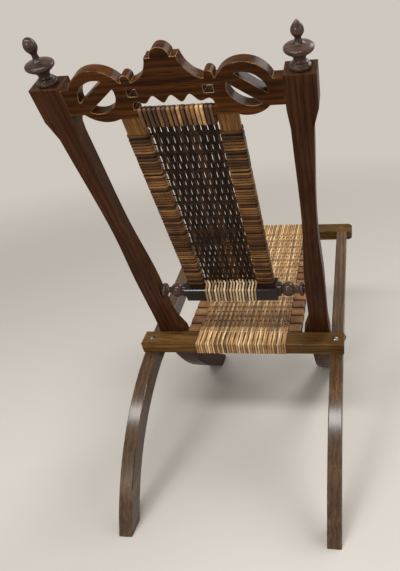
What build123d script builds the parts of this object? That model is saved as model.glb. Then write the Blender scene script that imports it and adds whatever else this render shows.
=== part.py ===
from build123d import *
import os
from math import sin, cos, tan, radians, sqrt

os.makedirs("parts", exist_ok=True)

# A folding side chair with a caned seat and a caned back, in millimetres.
# +Z is up, +Y is the way the sitter faces, X = 0 is the plane of symmetry, the floor is Z = 0.
# The seat frame is two sawn side boards, each a seat side and a rear leg in one, with two rails
# across them. The back frame is two sawn stiles, each a back post and a front leg in one. The
# frames cross at two pivot bolts, and at rest the stiles lean on the rear seat rail.

# ---- driving dimensions: seat frame ----
side_outer_x = 228.0  # outer face of a side board
side_thickness = 29.0
side_depth = 39.0  # depth of the side board and leg, in the plane of its curve
side_slope = 12.5  # rise of the side board towards the front, degrees
leg_radius = 472.0  # outer curve of the rear leg
leg_start = 45.0  # where the leg's curve begins, forward of the rear rail's back edge

seat_pitch = 9.5  # rise of the seat towards the front, degrees
seat_rear_height = 285.5  # top back edge of the rear seat rail

rear_rail_half = 230.0
rear_rail_width = 42.0
rear_rail_thickness = 27.5

front_rail_half = 243.0
front_rail_start = 484.0  # along the seat, from the rear rail's back edge
front_rail_width = 47.0
front_rail_thickness = 27.0
front_rail_corner = 15.0
lap_depth = 13.5  # front rail and side board are halved over each other
side_nose = 5.0  # how far the side board stops short of the front rail's front edge

slat_inner_x = 104.0
slat_width = 27.0
slat_thickness = 19.0
slat_drop = 3.0  # top of a seat slat below the top of the rails
slat_tenon = 14.0
slat_tenon_width = 17.0
slat_tenon_height = 9.0

cane = 2.2  # thickness of the cane lapped round a rail or slat
seat_sheet = 4.0  # thickness of the woven seat between the rails
seat_dip = 1.0  # its top, below the top of the cane lapped round the rails

edge_round = 2.0
fit_gap = 0.1  # clearance of a joint cut in wood
soft_gap = 0.3  # clearance of cane from the piece beside it

screw_x = 211.0
screw_head = 7.0
screw_head_rise = 3.5
screw_shank = 2.5
screw_length = 42.0

peg_radius = 4.0
peg_length = 24.0

# ---- driving dimensions: back frame ----
back_lean = 22.5  # lean of the back from the vertical, degrees
lean_gap = 0.3  # the stiles stand this far off the rear rail that they lean on
rest_s = 8.5  # heights along the back are counted from this far below that stop
stile_top = 596.5
block_height = 50.0
block_depth = 40.0
block_outer_x = 206.5
block_inner_x = 160.5
stile_depth = 27.0
leg_depth = 36.0  # depth of the front leg, in the plane of its curve
front_leg_slope = 37.2  # fall of the front leg, degrees
front_leg_reach = 311.0  # back edge of the front foot at the floor
stile_rear_radius = 500.0
stile_front_radius = 460.0
toe_height = 10.0

taper_top = 517.0
taper_outer_x = 197.5
taper_inner_x = 163.5
waist = 300.0
waist_outer_x = 189.5
waist_inner_x = 162.0
swell = 170.0
swell_end = 72.0
swell_outer_x = 194.0
swell_inner_x = 154.5
haunch = 2.0
haunch_end = -56.0
haunch_pull = (1.5, 0.5)  # how long the sweep into the haunch runs straight at its two ends
haunch_outer_x = 197.6
haunch_inner_x = 139.5
shin_start = -86.0
shin_end = -400.0
shin_outer_x = 193.5
shin_inner_x = 152.5

crest_thickness = 21.0
crest_base = 545.5
crest_end_base = 555.0
crest_end_top = 594.0
crest_shoulder = 600.0
crest_core_half = 94.5
ring_x = 106.0
ring_s = 580.5
ring_half_width = 43.5
ring_half_height = 38.5
ring_hole_x = 109.5
ring_hole_half_width = 29.5
ring_hole_half_height = 23.3
ring_hole_tilt = 25.0
ring_bar_width = 17.0
ring_bar_rise = 2.5  # the bar's axis above the ring's middle
ring_bar_angle = 145.0
ear_x = 59.5
ear_s = 602.5
ear_radius = 7.5
arch_top = 644.5
arch_lip_x = 14.0
arch_lip_s = 634.5
arch_step_drop = 3.0
arch_shoulder_x = 22.5
arch_flank_x = 29.0
arch_flank_s = 615.0
arch_foot_x = 50.0
pierce_x = 55.5
pierce_s = 584.5
pierce_width = 14.0
pierce_height = 11.0
slot_half = 61.0
slot_base = 559.0
slot_lip = 568.0
scallop_pitch = 27.0
scallop_rise = 10.5
scallop_end_rise = 3.0
scallop_end_inset = 2.0
crest_bevel = 0.5
bar_base = 531.0
bar_half = 56.8
bar_thickness = 7.5
tenon_length = 12.0
tenon_height = 24.0
tenon_thickness = 9.0

back_slat_inner_x = 57.0
back_slat_width = 32.0
back_slat_thickness = 15.0
back_slat_round = 4.5
panel_set = 3.0  # rear face of a back slat at the crest, forward of the crest's rear face
panel_turn = 1.3  # the slats lean this much further back than the stiles, degrees
back_slat_tenon_width = 12.0
back_slat_tenon_length = 9.0
back_slat_tenon_thickness = 7.0
wrap_top = 521.0  # cane on the back slats stops here

rail_s = 142.5  # height of the lower back rail's axis along the back
rail_set = 13.0  # its axis, forward of the back's rear plane
rail_square = 35.0
rail_square_half = 97.0
rail_bevel = 1.5
collar_radius = 15.0
collar_x = 104.0
collar_bevel = 1.0
quirk_radius = 8.5  # the turned grooves each side of the ball
ball_radius = 15.5
ball_x = 118.0
ball_half = 12.5
neck_radius = 6.2
neck_x = 136.0
disc_radius = 14.5
disc_x = 146.0
disc_half = 4.5
spigot_radius = 7.5
spigot_length = 14.0

back_sheet = 4.0  # thickness of the woven back
weave_set = 3.5  # its rear face, forward of a back slat's rear face
opening_width = 2.4
opening_height = 25.0
opening_pitch = 10.9  # from one opening to the next, across the weave
opening_step = 34.0  # from one row of openings to the next

finial_foot_radius = 15.5
finial_foot_height = 6.0
finial_waist_radius = 8.0
finial_waist_height = 14.0
finial_disc_radius = 21.0
finial_disc_height = 30.0
finial_disc_half = 7.5
finial_neck_radius = 4.3
finial_neck_height = 43.0
finial_egg_radius = 9.3
finial_egg_height = 57.0
finial_egg_half = 10.5

brace_radius = 9.0
brace_swell = 12.0
brace_s = -97.0
brace_set = 36.0
brace_spigot_radius = 6.5
brace_spigot_length = 16.0

# ---- driving dimensions: pivot ----
pivot_forward = 82.0  # pivot axis, forward of the rear rail's back edge
pivot_height = 253.0
bolt_radius = 5.0
bolt_head_radius = 9.5
bolt_head_rise = 4.5
bolt_end_gap = 0.6
running_gap = 0.05  # radial clearance of the bolt in its holes
washer_radius = 10.0
washer_gap = 0.1
nut_radius = 8.5
nut_thickness = 3.2

# ---- places that follow from the driving dimensions ----
pitch = radians(seat_pitch)
slope = radians(side_slope)
lean = radians(back_lean)
front_edge = front_rail_start + front_rail_width

# the side board's top meets the front rail's top, level with it
board_front_y = front_rail_start * cos(pitch)
board_front_z = seat_rear_height + front_rail_start * sin(pitch)
leg_top_z = board_front_z - (board_front_y - leg_start) * tan(slope)
leg_centre_y = leg_start + leg_radius * sin(slope)
leg_centre_z = leg_top_z - leg_radius * cos(slope)
foot_reach = sqrt(leg_radius**2 - leg_centre_z**2) - leg_centre_y
front_reach = (front_edge + cane) * cos(pitch) + (front_rail_thickness + cane) * sin(pitch)

# the rear rail's back edge stands here, so that the chair is centred on the origin
base_y = (foot_reach - front_reach) / 2

# the rear rail's top front edge, less the gap, is where the stiles' rear plane passes
back_foot_y = rear_rail_width * cos(pitch) + lean_gap + rest_s * sin(lean)
back_foot_z = seat_rear_height + rear_rail_width * sin(pitch) - rest_s * cos(lean)

seat_plane = Plane(origin=(0, base_y, seat_rear_height), x_dir=(1, 0, 0), z_dir=(0, -sin(pitch), cos(pitch)))
back_plane = Plane(
    origin=(0, base_y + back_foot_y, back_foot_z), x_dir=(1, 0, 0), z_dir=(0, -cos(lean), -sin(lean))
)
seat_normal = Axis(seat_plane.origin, seat_plane.z_dir)
back_normal = Axis(back_plane.origin, back_plane.z_dir)
panel_y, panel_z = back_foot_y - crest_base * sin(lean), back_foot_z + crest_base * cos(lean)
panel_lean = lean + radians(panel_turn)
panel_plane = Plane(
    origin=(0, base_y + panel_y + panel_set * cos(lean), panel_z + panel_set * sin(lean)),
    x_dir=(1, 0, 0),
    z_dir=(0, -cos(panel_lean), -sin(panel_lean)),
)
back_slat_x = back_slat_inner_x + back_slat_width / 2
side_inner_x = side_outer_x - side_thickness
pivot_y = base_y + pivot_forward


def along_back(height, forward):
    """The Y and Z of a point this far up the back and forward of its rear plane."""
    return (
        base_y + back_foot_y - height * sin(lean) + forward * cos(lean),
        back_foot_z + height * cos(lean) + forward * sin(lean),
    )


def corner(point_a, angle_a, point_b, angle_b):
    """Where two lines meet, each given by a point (y, z) and its direction in radians."""
    turn = sin(angle_b - angle_a)
    reach = ((point_b[0] - point_a[0]) * sin(angle_b) - (point_b[1] - point_a[1]) * cos(angle_b)) / turn
    return (point_a[0] + reach * cos(angle_a), point_a[1] + reach * sin(angle_a))


# ---- side boards: seat side and rear leg in one ----
leg_turn = 90 - side_slope  # the outer curve is drawn on until it points straight down
board_tip_y = base_y + (front_edge - side_nose) * cos(pitch)
board_tip_z = board_front_z + (board_tip_y - base_y - board_front_y) * tan(slope)

for side, sign in (("left", -1), ("right", 1)):
    with BuildPart() as side_leg:
        with BuildSketch(Plane.YZ.offset(sign * (side_outer_x - side_thickness / 2))):
            with BuildLine():
                top = Line((board_tip_y, board_tip_z), (base_y + leg_start, leg_top_z))
                outer = JernArc(start=top @ 1, tangent=top % 1, radius=leg_radius, arc_size=leg_turn)
                Line(outer @ 1, (outer @ 1) + (side_depth, 0))
                inner = JernArc(
                    start=(outer @ 1) + (side_depth, 0),
                    tangent=(0, 1),
                    radius=leg_radius - side_depth,
                    arc_size=-leg_turn,
                )
                bottom = Line(inner @ 1, (inner @ 1) + (top @ 0) - (top @ 1))
                Line(bottom @ 1, top @ 0)
            make_face()
        extrude(amount=side_thickness / 2, both=True)
        split(bisect_by=Plane.XY, keep=Keep.TOP)
        tip_edges = side_leg.edges().filter_by(Axis.X).sort_by(Axis.Y)[-2:]
        fillet(tip_edges.sort_by(Axis.Z)[0], radius=side_depth / 2)
        long_edges = side_leg.edges().filter_by(lambda edge: edge.length > 2 * side_depth)
        fillet(long_edges, radius=edge_round)
        # housing for the rear rail, halving for the front rail
        with BuildSketch(seat_plane.offset(-rear_rail_thickness)):
            with Locations((sign * side_outer_x, rear_rail_width / 2)):
                Rectangle(2 * side_thickness + side_outer_x, rear_rail_width)
        extrude(amount=2 * rear_rail_thickness, mode=Mode.SUBTRACT)
        with BuildSketch(seat_plane.offset(-lap_depth)):
            with Locations((sign * side_outer_x, front_rail_start + front_rail_width)):
                Rectangle(2 * side_thickness + side_outer_x, 2 * front_rail_width)
        extrude(amount=2 * lap_depth, mode=Mode.SUBTRACT)
        # pivot hole
        with BuildSketch(Plane.YZ.offset(sign * side_outer_x)):
            with Locations((pivot_y, pivot_height)):
                Circle(bolt_radius + running_gap)
        extrude(amount=2 * side_thickness, both=True, mode=Mode.SUBTRACT)
        # screw hole from the rear rail
        with BuildSketch(seat_plane):
            with Locations((sign * screw_x, rear_rail_width / 2)):
                Circle(screw_shank + fit_gap)
        extrude(amount=-screw_length - fit_gap, mode=Mode.SUBTRACT)
        # peg hole from the front rail
        with BuildSketch(seat_plane):
            with Locations((sign * screw_x, front_rail_start + front_rail_width / 2)):
                Circle(peg_radius + fit_gap)
        extrude(amount=-peg_length - fit_gap, mode=Mode.SUBTRACT)
    side_leg.part.label = f"{side}_side_leg"
    export_step(side_leg.part, f"parts/{side}_side_leg.step")

# ---- rear seat rail ----
with BuildPart() as rear_seat_rail:
    with BuildSketch(seat_plane):
        with Locations((0, rear_rail_width / 2)):
            Rectangle(2 * rear_rail_half, rear_rail_width)
    extrude(amount=-rear_rail_thickness)
    fillet(rear_seat_rail.edges().filter_by(Axis.X), radius=edge_round / 2)
    with BuildSketch(seat_plane):
        with Locations((-screw_x, rear_rail_width / 2), (screw_x, rear_rail_width / 2)):
            Circle(screw_shank + fit_gap)
    extrude(amount=-rear_rail_thickness, mode=Mode.SUBTRACT)
    # mortises for the seat slats
    with BuildSketch(seat_plane.offset(-slat_drop - (slat_thickness - slat_tenon_height) / 2 + fit_gap)):
        for sign in (-1, 1):
            with Locations((sign * (slat_inner_x + slat_width / 2), rear_rail_width)):
                Rectangle(slat_tenon_width + 2 * fit_gap, 2 * (slat_tenon + fit_gap))
    extrude(amount=-slat_tenon_height - 2 * fit_gap, mode=Mode.SUBTRACT)
rear_seat_rail.part.label = "rear_seat_rail"
export_step(rear_seat_rail.part, "parts/rear_seat_rail.step")

# ---- front seat rail ----
with BuildPart() as front_seat_rail:
    with BuildSketch(seat_plane):
        with Locations((0, front_rail_start + front_rail_width / 2)):
            RectangleRounded(2 * front_rail_half, front_rail_width, front_rail_corner)
    extrude(amount=-front_rail_thickness)
    fillet(front_seat_rail.faces().sort_by(seat_normal)[-1].edges(), radius=edge_round)
    # halvings over the side boards
    with BuildSketch(seat_plane.offset(-lap_depth)):
        for sign in (-1, 1):
            with Locations((sign * (side_outer_x - side_thickness / 2), front_rail_start + front_rail_width / 2)):
                Rectangle(side_thickness + 2 * fit_gap, 2 * front_rail_width)
    extrude(amount=-front_rail_thickness, mode=Mode.SUBTRACT)
    with BuildSketch(seat_plane):
        for sign in (-1, 1):
            with Locations((sign * screw_x, front_rail_start + front_rail_width / 2)):
                Circle(peg_radius + fit_gap)
    extrude(amount=-front_rail_thickness, mode=Mode.SUBTRACT)
    with BuildSketch(seat_plane.offset(-slat_drop - (slat_thickness - slat_tenon_height) / 2 + fit_gap)):
        for sign in (-1, 1):
            with Locations((sign * (slat_inner_x + slat_width / 2), front_rail_start)):
                Rectangle(slat_tenon_width + 2 * fit_gap, 2 * (slat_tenon + fit_gap))
    extrude(amount=-slat_tenon_height - 2 * fit_gap, mode=Mode.SUBTRACT)
front_seat_rail.part.label = "front_seat_rail"
export_step(front_seat_rail.part, "parts/front_seat_rail.step")

# ---- seat slats and the cane wound round them ----
slat_length = front_rail_start - rear_rail_width
slat_middle = rear_rail_width + slat_length / 2
wrap_length = slat_length - 2 * (cane + soft_gap)
for side, sign in (("left", -1), ("right", 1)):
    slat_x = sign * (slat_inner_x + slat_width / 2)
    with BuildPart() as seat_slat:
        with BuildSketch(seat_plane.offset(-slat_drop)):
            with Locations((slat_x, slat_middle)):
                Rectangle(slat_width, slat_length)
        extrude(amount=-slat_thickness)
        with BuildSketch(seat_plane.offset(-slat_drop - (slat_thickness - slat_tenon_height) / 2)):
            with Locations((slat_x, slat_middle)):
                Rectangle(slat_tenon_width, slat_length + 2 * slat_tenon)
        extrude(amount=-slat_tenon_height)
    seat_slat.part.label = f"{side}_seat_slat"
    export_step(seat_slat.part, f"parts/{side}_seat_slat.step")

    with BuildPart() as seat_slat_wrap:
        with BuildSketch(seat_plane.offset(-slat_drop + cane)):
            with Locations((slat_x, slat_middle)):
                Rectangle(slat_width + 2 * cane, wrap_length)
        extrude(amount=-slat_thickness - 2 * cane)
        with BuildSketch(seat_plane.offset(-slat_drop)):
            with Locations((slat_x, slat_middle)):
                Rectangle(slat_width, slat_length)
        extrude(amount=-slat_thickness, mode=Mode.SUBTRACT)
    seat_slat_wrap.part.label = f"{side}_seat_slat_wrap"
    export_step(seat_slat_wrap.part, f"parts/{side}_seat_slat_wrap.step")

# ---- woven seat: a sheet between the slats, lapped round both rails ----
seat_weave_half = slat_inner_x - cane - soft_gap
seat_side_plane = Plane(
    origin=(-seat_weave_half, base_y, seat_rear_height), x_dir=(0, cos(pitch), sin(pitch)), z_dir=(1, 0, 0)
)
with BuildPart() as seat_cane:
    with BuildSketch(seat_side_plane):
        with Locations((front_edge / 2, cane - seat_dip - seat_sheet / 2)):
            Rectangle(front_edge, seat_sheet)
        for start, width, thickness in (
            (0, rear_rail_width, rear_rail_thickness),
            (front_rail_start, front_rail_width, front_rail_thickness),
        ):
            with Locations((start + width / 2, -thickness / 2)):
                Rectangle(width + 2 * cane, thickness + 2 * cane)
        for start, width, thickness in (
            (0, rear_rail_width, rear_rail_thickness),
            (front_rail_start, front_rail_width, front_rail_thickness),
        ):
            with Locations((start + width / 2, -thickness / 2)):
                Rectangle(width, thickness, mode=Mode.SUBTRACT)
    extrude(amount=2 * seat_weave_half)
seat_cane.part.label = "seat_cane"
export_step(seat_cane.part, "parts/seat_cane.step")

# ---- dome-head screws through the rear rail, wooden pegs through the front rail ----
dome_radius = (screw_head**2 + screw_head_rise**2) / (2 * screw_head_rise)
with BuildPart() as rear_rail_screws:
    for sign in (-1, 1):
        screw_axis = Plane(
            origin=seat_plane.from_local_coords((sign * screw_x, rear_rail_width / 2, 0)),
            x_dir=(1, 0, 0),
            z_dir=seat_plane.z_dir,
        )
        with BuildSketch(Plane(origin=screw_axis.origin, x_dir=screw_axis.x_dir, z_dir=-screw_axis.y_dir)):
            with BuildLine():
                Line((0, -screw_length), (0, screw_head_rise))
                RadiusArc((0, screw_head_rise), (screw_head, 0), dome_radius)
                Polyline((screw_head, 0), (screw_shank, 0), (screw_shank, -screw_length), (0, -screw_length))
            make_face()
        revolve(axis=Axis(screw_axis.origin, screw_axis.z_dir))
rear_rail_screws.part.label = "rear_rail_screws"
export_step(rear_rail_screws.part, "parts/rear_rail_screws.step")

with BuildPart() as front_rail_pegs:
    with BuildSketch(seat_plane):
        for sign in (-1, 1):
            with Locations((sign * screw_x, front_rail_start + front_rail_width / 2)):
                Circle(peg_radius)
    extrude(amount=-peg_length)
front_rail_pegs.part.label = "front_rail_pegs"
export_step(front_rail_pegs.part, "parts/front_rail_pegs.step")

# ---- stiles: back post and front leg in one ----
stile_up = radians(90 + back_lean)
shin_down = radians(-front_leg_slope)
rear_floor = (base_y + front_leg_reach, 0)
front_floor = (base_y + front_leg_reach + leg_depth / sin(radians(front_leg_slope)), 0)
rear_knee = corner(along_back(0, 0), stile_up, rear_floor, shin_down)
front_knee = corner(along_back(0, stile_depth), stile_up, front_floor, shin_down)
toe = (front_floor[0] - toe_height / tan(radians(front_leg_slope)), toe_height)
block_base = stile_top - block_height
block_step = block_depth - stile_depth

outer_edge = (
    (block_outer_x, block_base),
    (taper_outer_x, taper_top),
    (waist_outer_x, waist),
    (swell_outer_x, swell),
    (swell_outer_x, swell_end),
    (haunch_outer_x, haunch),
    (haunch_outer_x, haunch_end),
    (shin_outer_x, shin_start),
    (shin_outer_x, shin_end),
)
inner_edge = (
    (block_inner_x, block_base),
    (taper_inner_x, taper_top),
    (waist_inner_x, waist),
    (swell_inner_x, swell),
    (swell_inner_x, swell_end),
    (haunch_inner_x, haunch),
    (haunch_inner_x, haunch_end),
    (shin_inner_x, shin_start),
    (shin_inner_x, shin_end),
)


def draw_edge(points):
    """One long edge of a stile: straight at block, shin and haunch, swept between them."""
    block, taper, middle, swelling, low, flare, flare_end, shin, end = points
    Line(block, taper)
    Spline(taper, middle, swelling, tangents=((middle[0] - taper[0], middle[1] - taper[1]), (0, -1)))
    Line(swelling, low)
    Spline(low, flare, tangents=((0, -1), (0, -1)), tangent_scalars=haunch_pull)
    Line(flare, flare_end)
    Spline(flare_end, shin, tangents=((0, -1), (0, -1)))
    Line(shin, end)


def finial_plane(sign):
    """The top face of a stile's block, with its origin in the middle."""
    middle = (sign * (block_inner_x + block_outer_x) / 2, stile_top, -block_depth / 2)
    return Plane(origin=back_plane.from_local_coords(middle), x_dir=(1, 0, 0), z_dir=back_plane.y_dir)


for side, sign in (("left", -1), ("right", 1)):
    with BuildPart() as stile:
        with BuildSketch(Plane.YZ.offset(sign * block_inner_x)):
            with BuildLine():
                FilletPolyline(along_back(stile_top, 0), rear_knee, rear_floor, radius=stile_rear_radius)
                Polyline(rear_floor, (toe[0], 0), toe)
                FilletPolyline(
                    toe,
                    front_knee,
                    along_back(block_base - block_step, stile_depth),
                    radius=stile_front_radius,
                )
                Polyline(
                    along_back(block_base - block_step, stile_depth),
                    along_back(block_base, block_depth),
                    along_back(stile_top, block_depth),
                    along_back(stile_top, 0),
                )
            make_face()
        extrude(amount=2 * block_outer_x, both=True)
        with BuildSketch(back_plane):
            with BuildLine():
                draw_edge([(sign * x, s) for x, s in outer_edge])
                Line((sign * shin_outer_x, shin_end), (sign * shin_inner_x, shin_end))
                draw_edge([(sign * x, s) for x, s in inner_edge])
                Polyline(
                    (sign * block_inner_x, block_base),
                    (sign * block_inner_x, stile_top),
                    (sign * block_outer_x, stile_top),
                    (sign * block_outer_x, block_base),
                )
            make_face()
        extrude(amount=-2 * stile_top, both=True, mode=Mode.INTERSECT)
        # mortise for the crest rail
        with BuildSketch(back_plane.offset(-(crest_thickness - tenon_thickness) / 2 + fit_gap)):
            with Locations((sign * block_inner_x, (crest_end_base + crest_end_top) / 2)):
                Rectangle(2 * (tenon_length + fit_gap), tenon_height + 2 * fit_gap)
        extrude(amount=-tenon_thickness - 2 * fit_gap, mode=Mode.SUBTRACT)
        # socket for the lower rail
        with BuildSketch(Plane.YZ.offset(sign * (swell_inner_x + spigot_length + fit_gap))):
            with Locations(along_back(rail_s, rail_set)):
                Circle(spigot_radius + fit_gap)
        extrude(amount=-sign * 2 * spigot_length, mode=Mode.SUBTRACT)
        # socket for the leg brace
        with BuildSketch(Plane.YZ.offset(sign * (shin_inner_x + brace_spigot_length + fit_gap))):
            with Locations(along_back(brace_s, brace_set)):
                Circle(brace_spigot_radius + fit_gap)
        extrude(amount=-sign * 2 * brace_spigot_length, mode=Mode.SUBTRACT)
        # pivot hole
        with BuildSketch(Plane.YZ):
            with Locations((pivot_y, pivot_height)):
                Circle(bolt_radius + running_gap)
        extrude(amount=sign * side_outer_x, mode=Mode.SUBTRACT)
        # hole for the finial's spigot
        with BuildSketch(finial_plane(sign)):
            Circle(spigot_radius + fit_gap)
        extrude(amount=-spigot_length - fit_gap, mode=Mode.SUBTRACT)
    stile.part.label = f"{side}_stile"
    export_step(stile.part, f"parts/{side}_stile.step")

# ---- crest rail: arched, ringed and pierced ----
with BuildPart() as crest_rail:
    with BuildSketch(back_plane):
        with Locations((0, (crest_base + crest_shoulder) / 2)):
            Rectangle(2 * crest_core_half, crest_shoulder - crest_base)
        with BuildLine():
            ThreePointArc((-arch_lip_x, arch_lip_s), (0, arch_top), (arch_lip_x, arch_lip_s))
            for sign in (-1, 1):
                Polyline(
                    (sign * arch_lip_x, arch_lip_s),
                    (sign * arch_lip_x, arch_lip_s - arch_step_drop),
                    (sign * arch_shoulder_x, arch_lip_s - arch_step_drop),
                )
                Spline(
                    (sign * arch_shoulder_x, arch_lip_s - arch_step_drop),
                    (sign * arch_flank_x, arch_flank_s),
                    (sign * arch_foot_x, crest_shoulder),
                )
                Line((sign * arch_foot_x, crest_shoulder), (sign * arch_foot_x, crest_base))
            Line((-arch_foot_x, crest_base), (arch_foot_x, crest_base))
        make_face()
        with Locations((0, (bar_base + crest_base) / 2)):
            Rectangle(2 * bar_half, crest_base - bar_base)
        for sign in (-1, 1):
            with Locations((sign * ring_x, ring_s)):
                Ellipse(ring_half_width, ring_half_height)
            with Locations((sign * (ring_x + block_inner_x) / 2, (crest_end_base + crest_end_top) / 2)):
                Rectangle(block_inner_x - ring_x, crest_end_top - crest_end_base)
            with Locations((sign * ear_x, ear_s)):
                Circle(ear_radius)
        for sign in (-1, 1):
            with Locations(Location((sign * ring_hole_x, ring_s), -sign * ring_hole_tilt)):
                Ellipse(ring_hole_half_width, ring_hole_half_height, mode=Mode.SUBTRACT)
            with Locations((sign * pierce_x, pierce_s)):
                Rectangle(pierce_width, pierce_height, mode=Mode.SUBTRACT)
        for sign in (-1, 1):
            with Locations(Location((sign * ring_hole_x, ring_s + ring_bar_rise), sign * ring_bar_angle)):
                Rectangle(2 * ring_hole_half_width + ring_bar_width / 2, ring_bar_width)
        # the slot over the bar, with round lobes hanging into it
        with BuildLine():
            end_scallop_x = 2 * scallop_pitch - scallop_end_inset
            Spline(
                (-slot_half, slot_base),
                (-end_scallop_x, slot_lip + scallop_end_rise),
                (-1.5 * scallop_pitch, slot_lip),
                (-scallop_pitch, slot_lip + scallop_rise),
                (-scallop_pitch / 2, slot_lip),
                (0, slot_lip + scallop_rise),
                (scallop_pitch / 2, slot_lip),
                (scallop_pitch, slot_lip + scallop_rise),
                (1.5 * scallop_pitch, slot_lip),
                (end_scallop_x, slot_lip + scallop_end_rise),
                (slot_half, slot_base),
            )
            Line((slot_half, slot_base), (-slot_half, slot_base))
        make_face(mode=Mode.SUBTRACT)
    extrude(amount=-crest_thickness)
    chamfer(crest_rail.faces().sort_by(back_normal)[-1].outer_wire().edges(), length=crest_bevel)
    # the bar under the slot is thinner than the crest
    with BuildSketch(back_plane.offset(-bar_thickness)):
        with Locations((0, (bar_base + slot_base) / 2)):
            Rectangle(2 * bar_half, slot_base - bar_base)
    extrude(amount=-crest_thickness, mode=Mode.SUBTRACT)
    # tenons into the stiles
    with BuildSketch(back_plane.offset(-(crest_thickness - tenon_thickness) / 2)):
        with Locations((0, (crest_end_base + crest_end_top) / 2)):
            Rectangle(2 * (block_inner_x + tenon_length), tenon_height)
        with Locations((0, (crest_end_base + crest_end_top) / 2)):
            Rectangle(2 * block_inner_x - 2 * fit_gap, tenon_height, mode=Mode.SUBTRACT)
    extrude(amount=-tenon_thickness)
    # mortises for the back slats
    with BuildSketch(panel_plane.offset(-(back_slat_thickness - back_slat_tenon_thickness) / 2 + fit_gap)):
        for sign in (-1, 1):
            with Locations((sign * back_slat_x, 0)):
                Rectangle(back_slat_tenon_width + 2 * fit_gap, 2 * (back_slat_tenon_length + fit_gap))
    extrude(amount=-back_slat_tenon_thickness - 2 * fit_gap, mode=Mode.SUBTRACT)
crest_rail.part.label = "crest_rail"
export_step(crest_rail.part, "parts/crest_rail.step")

# ---- lower back rail: a square block, turned at both ends ----
rail_y, rail_z = along_back(rail_s, rail_set)
block_plane = Plane(origin=(0, rail_y, rail_z), x_dir=(1, 0, 0), z_dir=back_plane.z_dir)
block_top = Plane(origin=block_plane.origin, x_dir=(1, 0, 0), z_dir=block_plane.y_dir).offset(rail_square / 2)
slat_drop_length = crest_base - rail_s  # long enough to reach past the block's top
slat_foot_length = slat_drop_length - rail_square / 2 + back_slat_tenon_length

with BuildPart() as lower_back_rail:
    with BuildSketch(block_plane):
        Rectangle(2 * rail_square_half, rail_square)
    extrude(amount=rail_square / 2, both=True)
    chamfer(lower_back_rail.edges().filter_by(Axis.X), length=rail_bevel)
    # turned ends
    with BuildSketch(block_plane):
        with BuildLine():
            Polyline(
                (0, 0),
                (0, collar_radius),
                (collar_x, collar_radius),
                (collar_x + collar_bevel, quirk_radius),
                (ball_x - ball_half, quirk_radius),
            )
            ThreePointArc(
                (ball_x - ball_half, quirk_radius), (ball_x, ball_radius), (ball_x + ball_half, quirk_radius)
            )
            Spline(
                (ball_x + ball_half, quirk_radius),
                (neck_x, neck_radius),
                (disc_x - disc_half, quirk_radius),
            )
            Spline(
                (disc_x - disc_half, quirk_radius),
                (disc_x, disc_radius),
                (disc_x + disc_half, quirk_radius),
                tangents=((0, 1), (0, -1)),
            )
            Polyline(
                (disc_x + disc_half, quirk_radius),
                (swell_inner_x, quirk_radius),
                (swell_inner_x, spigot_radius),
                (swell_inner_x + spigot_length, spigot_radius),
                (swell_inner_x + spigot_length, 0),
                (0, 0),
            )
        make_face()
        mirror(about=Plane.YZ)
    revolve(axis=Axis(block_plane.origin, (1, 0, 0)))
    # mortises for the slat feet
    with BuildSketch(panel_plane.offset(-(back_slat_thickness - back_slat_tenon_thickness) / 2 + fit_gap)):
        for sign in (-1, 1):
            with Locations((sign * back_slat_x, -slat_foot_length / 2)):
                Rectangle(back_slat_tenon_width + 2 * fit_gap, slat_foot_length + 2 * fit_gap)
    extrude(amount=-back_slat_tenon_thickness - 2 * fit_gap, mode=Mode.SUBTRACT)
lower_back_rail.part.label = "lower_back_rail"
export_step(lower_back_rail.part, "parts/lower_back_rail.step")

# ---- back slats and the cane wound round them ----
crest_underside = Plane(
    origin=back_plane.from_local_coords((0, crest_base, 0)), x_dir=(1, 0, 0), z_dir=back_plane.y_dir
)
wrap_drop = crest_base - wrap_top
for side, sign in (("left", -1), ("right", 1)):
    slat_x = sign * back_slat_x
    slat_head = Plane(
        origin=panel_plane.from_local_coords((slat_x, 0, -back_slat_thickness / 2)),
        x_dir=(1, 0, 0),
        z_dir=panel_plane.y_dir,
    )
    with BuildPart() as back_slat:
        with BuildSketch(slat_head.offset(back_slat_tenon_length)):
            RectangleRounded(back_slat_width, back_slat_thickness, back_slat_round)
        extrude(amount=-back_slat_tenon_length - slat_drop_length)
        # cut off against the crest's underside and the block's top
        with BuildSketch(crest_underside):
            Rectangle(2 * side_outer_x, 2 * side_outer_x)
        extrude(amount=2 * back_slat_tenon_length, mode=Mode.SUBTRACT)
        with BuildSketch(block_top):
            Rectangle(2 * side_outer_x, 2 * side_outer_x)
        extrude(amount=-2 * rail_square, mode=Mode.SUBTRACT)
        # tenons: into the crest above, into the rail's block below
        with BuildSketch(panel_plane.offset(-(back_slat_thickness - back_slat_tenon_thickness) / 2)):
            with Locations((slat_x, (back_slat_tenon_length - slat_foot_length) / 2)):
                Rectangle(back_slat_tenon_width, back_slat_tenon_length + slat_foot_length)
        extrude(amount=-back_slat_tenon_thickness)
    back_slat.part.label = f"{side}_back_slat"
    export_step(back_slat.part, f"parts/{side}_back_slat.step")

    with BuildPart() as back_slat_wrap:
        with BuildSketch(slat_head.offset(-wrap_drop)):
            RectangleRounded(back_slat_width + 2 * cane, back_slat_thickness + 2 * cane, back_slat_round + cane)
            RectangleRounded(back_slat_width, back_slat_thickness, back_slat_round, mode=Mode.SUBTRACT)
        extrude(amount=wrap_drop - slat_drop_length)
        with BuildSketch(block_top.offset(soft_gap)):
            Rectangle(2 * side_outer_x, 2 * side_outer_x)
        extrude(amount=-2 * rail_square, mode=Mode.SUBTRACT)
    back_slat_wrap.part.label = f"{side}_back_slat_wrap"
    export_step(back_slat_wrap.part, f"parts/{side}_back_slat_wrap.step")

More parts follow.
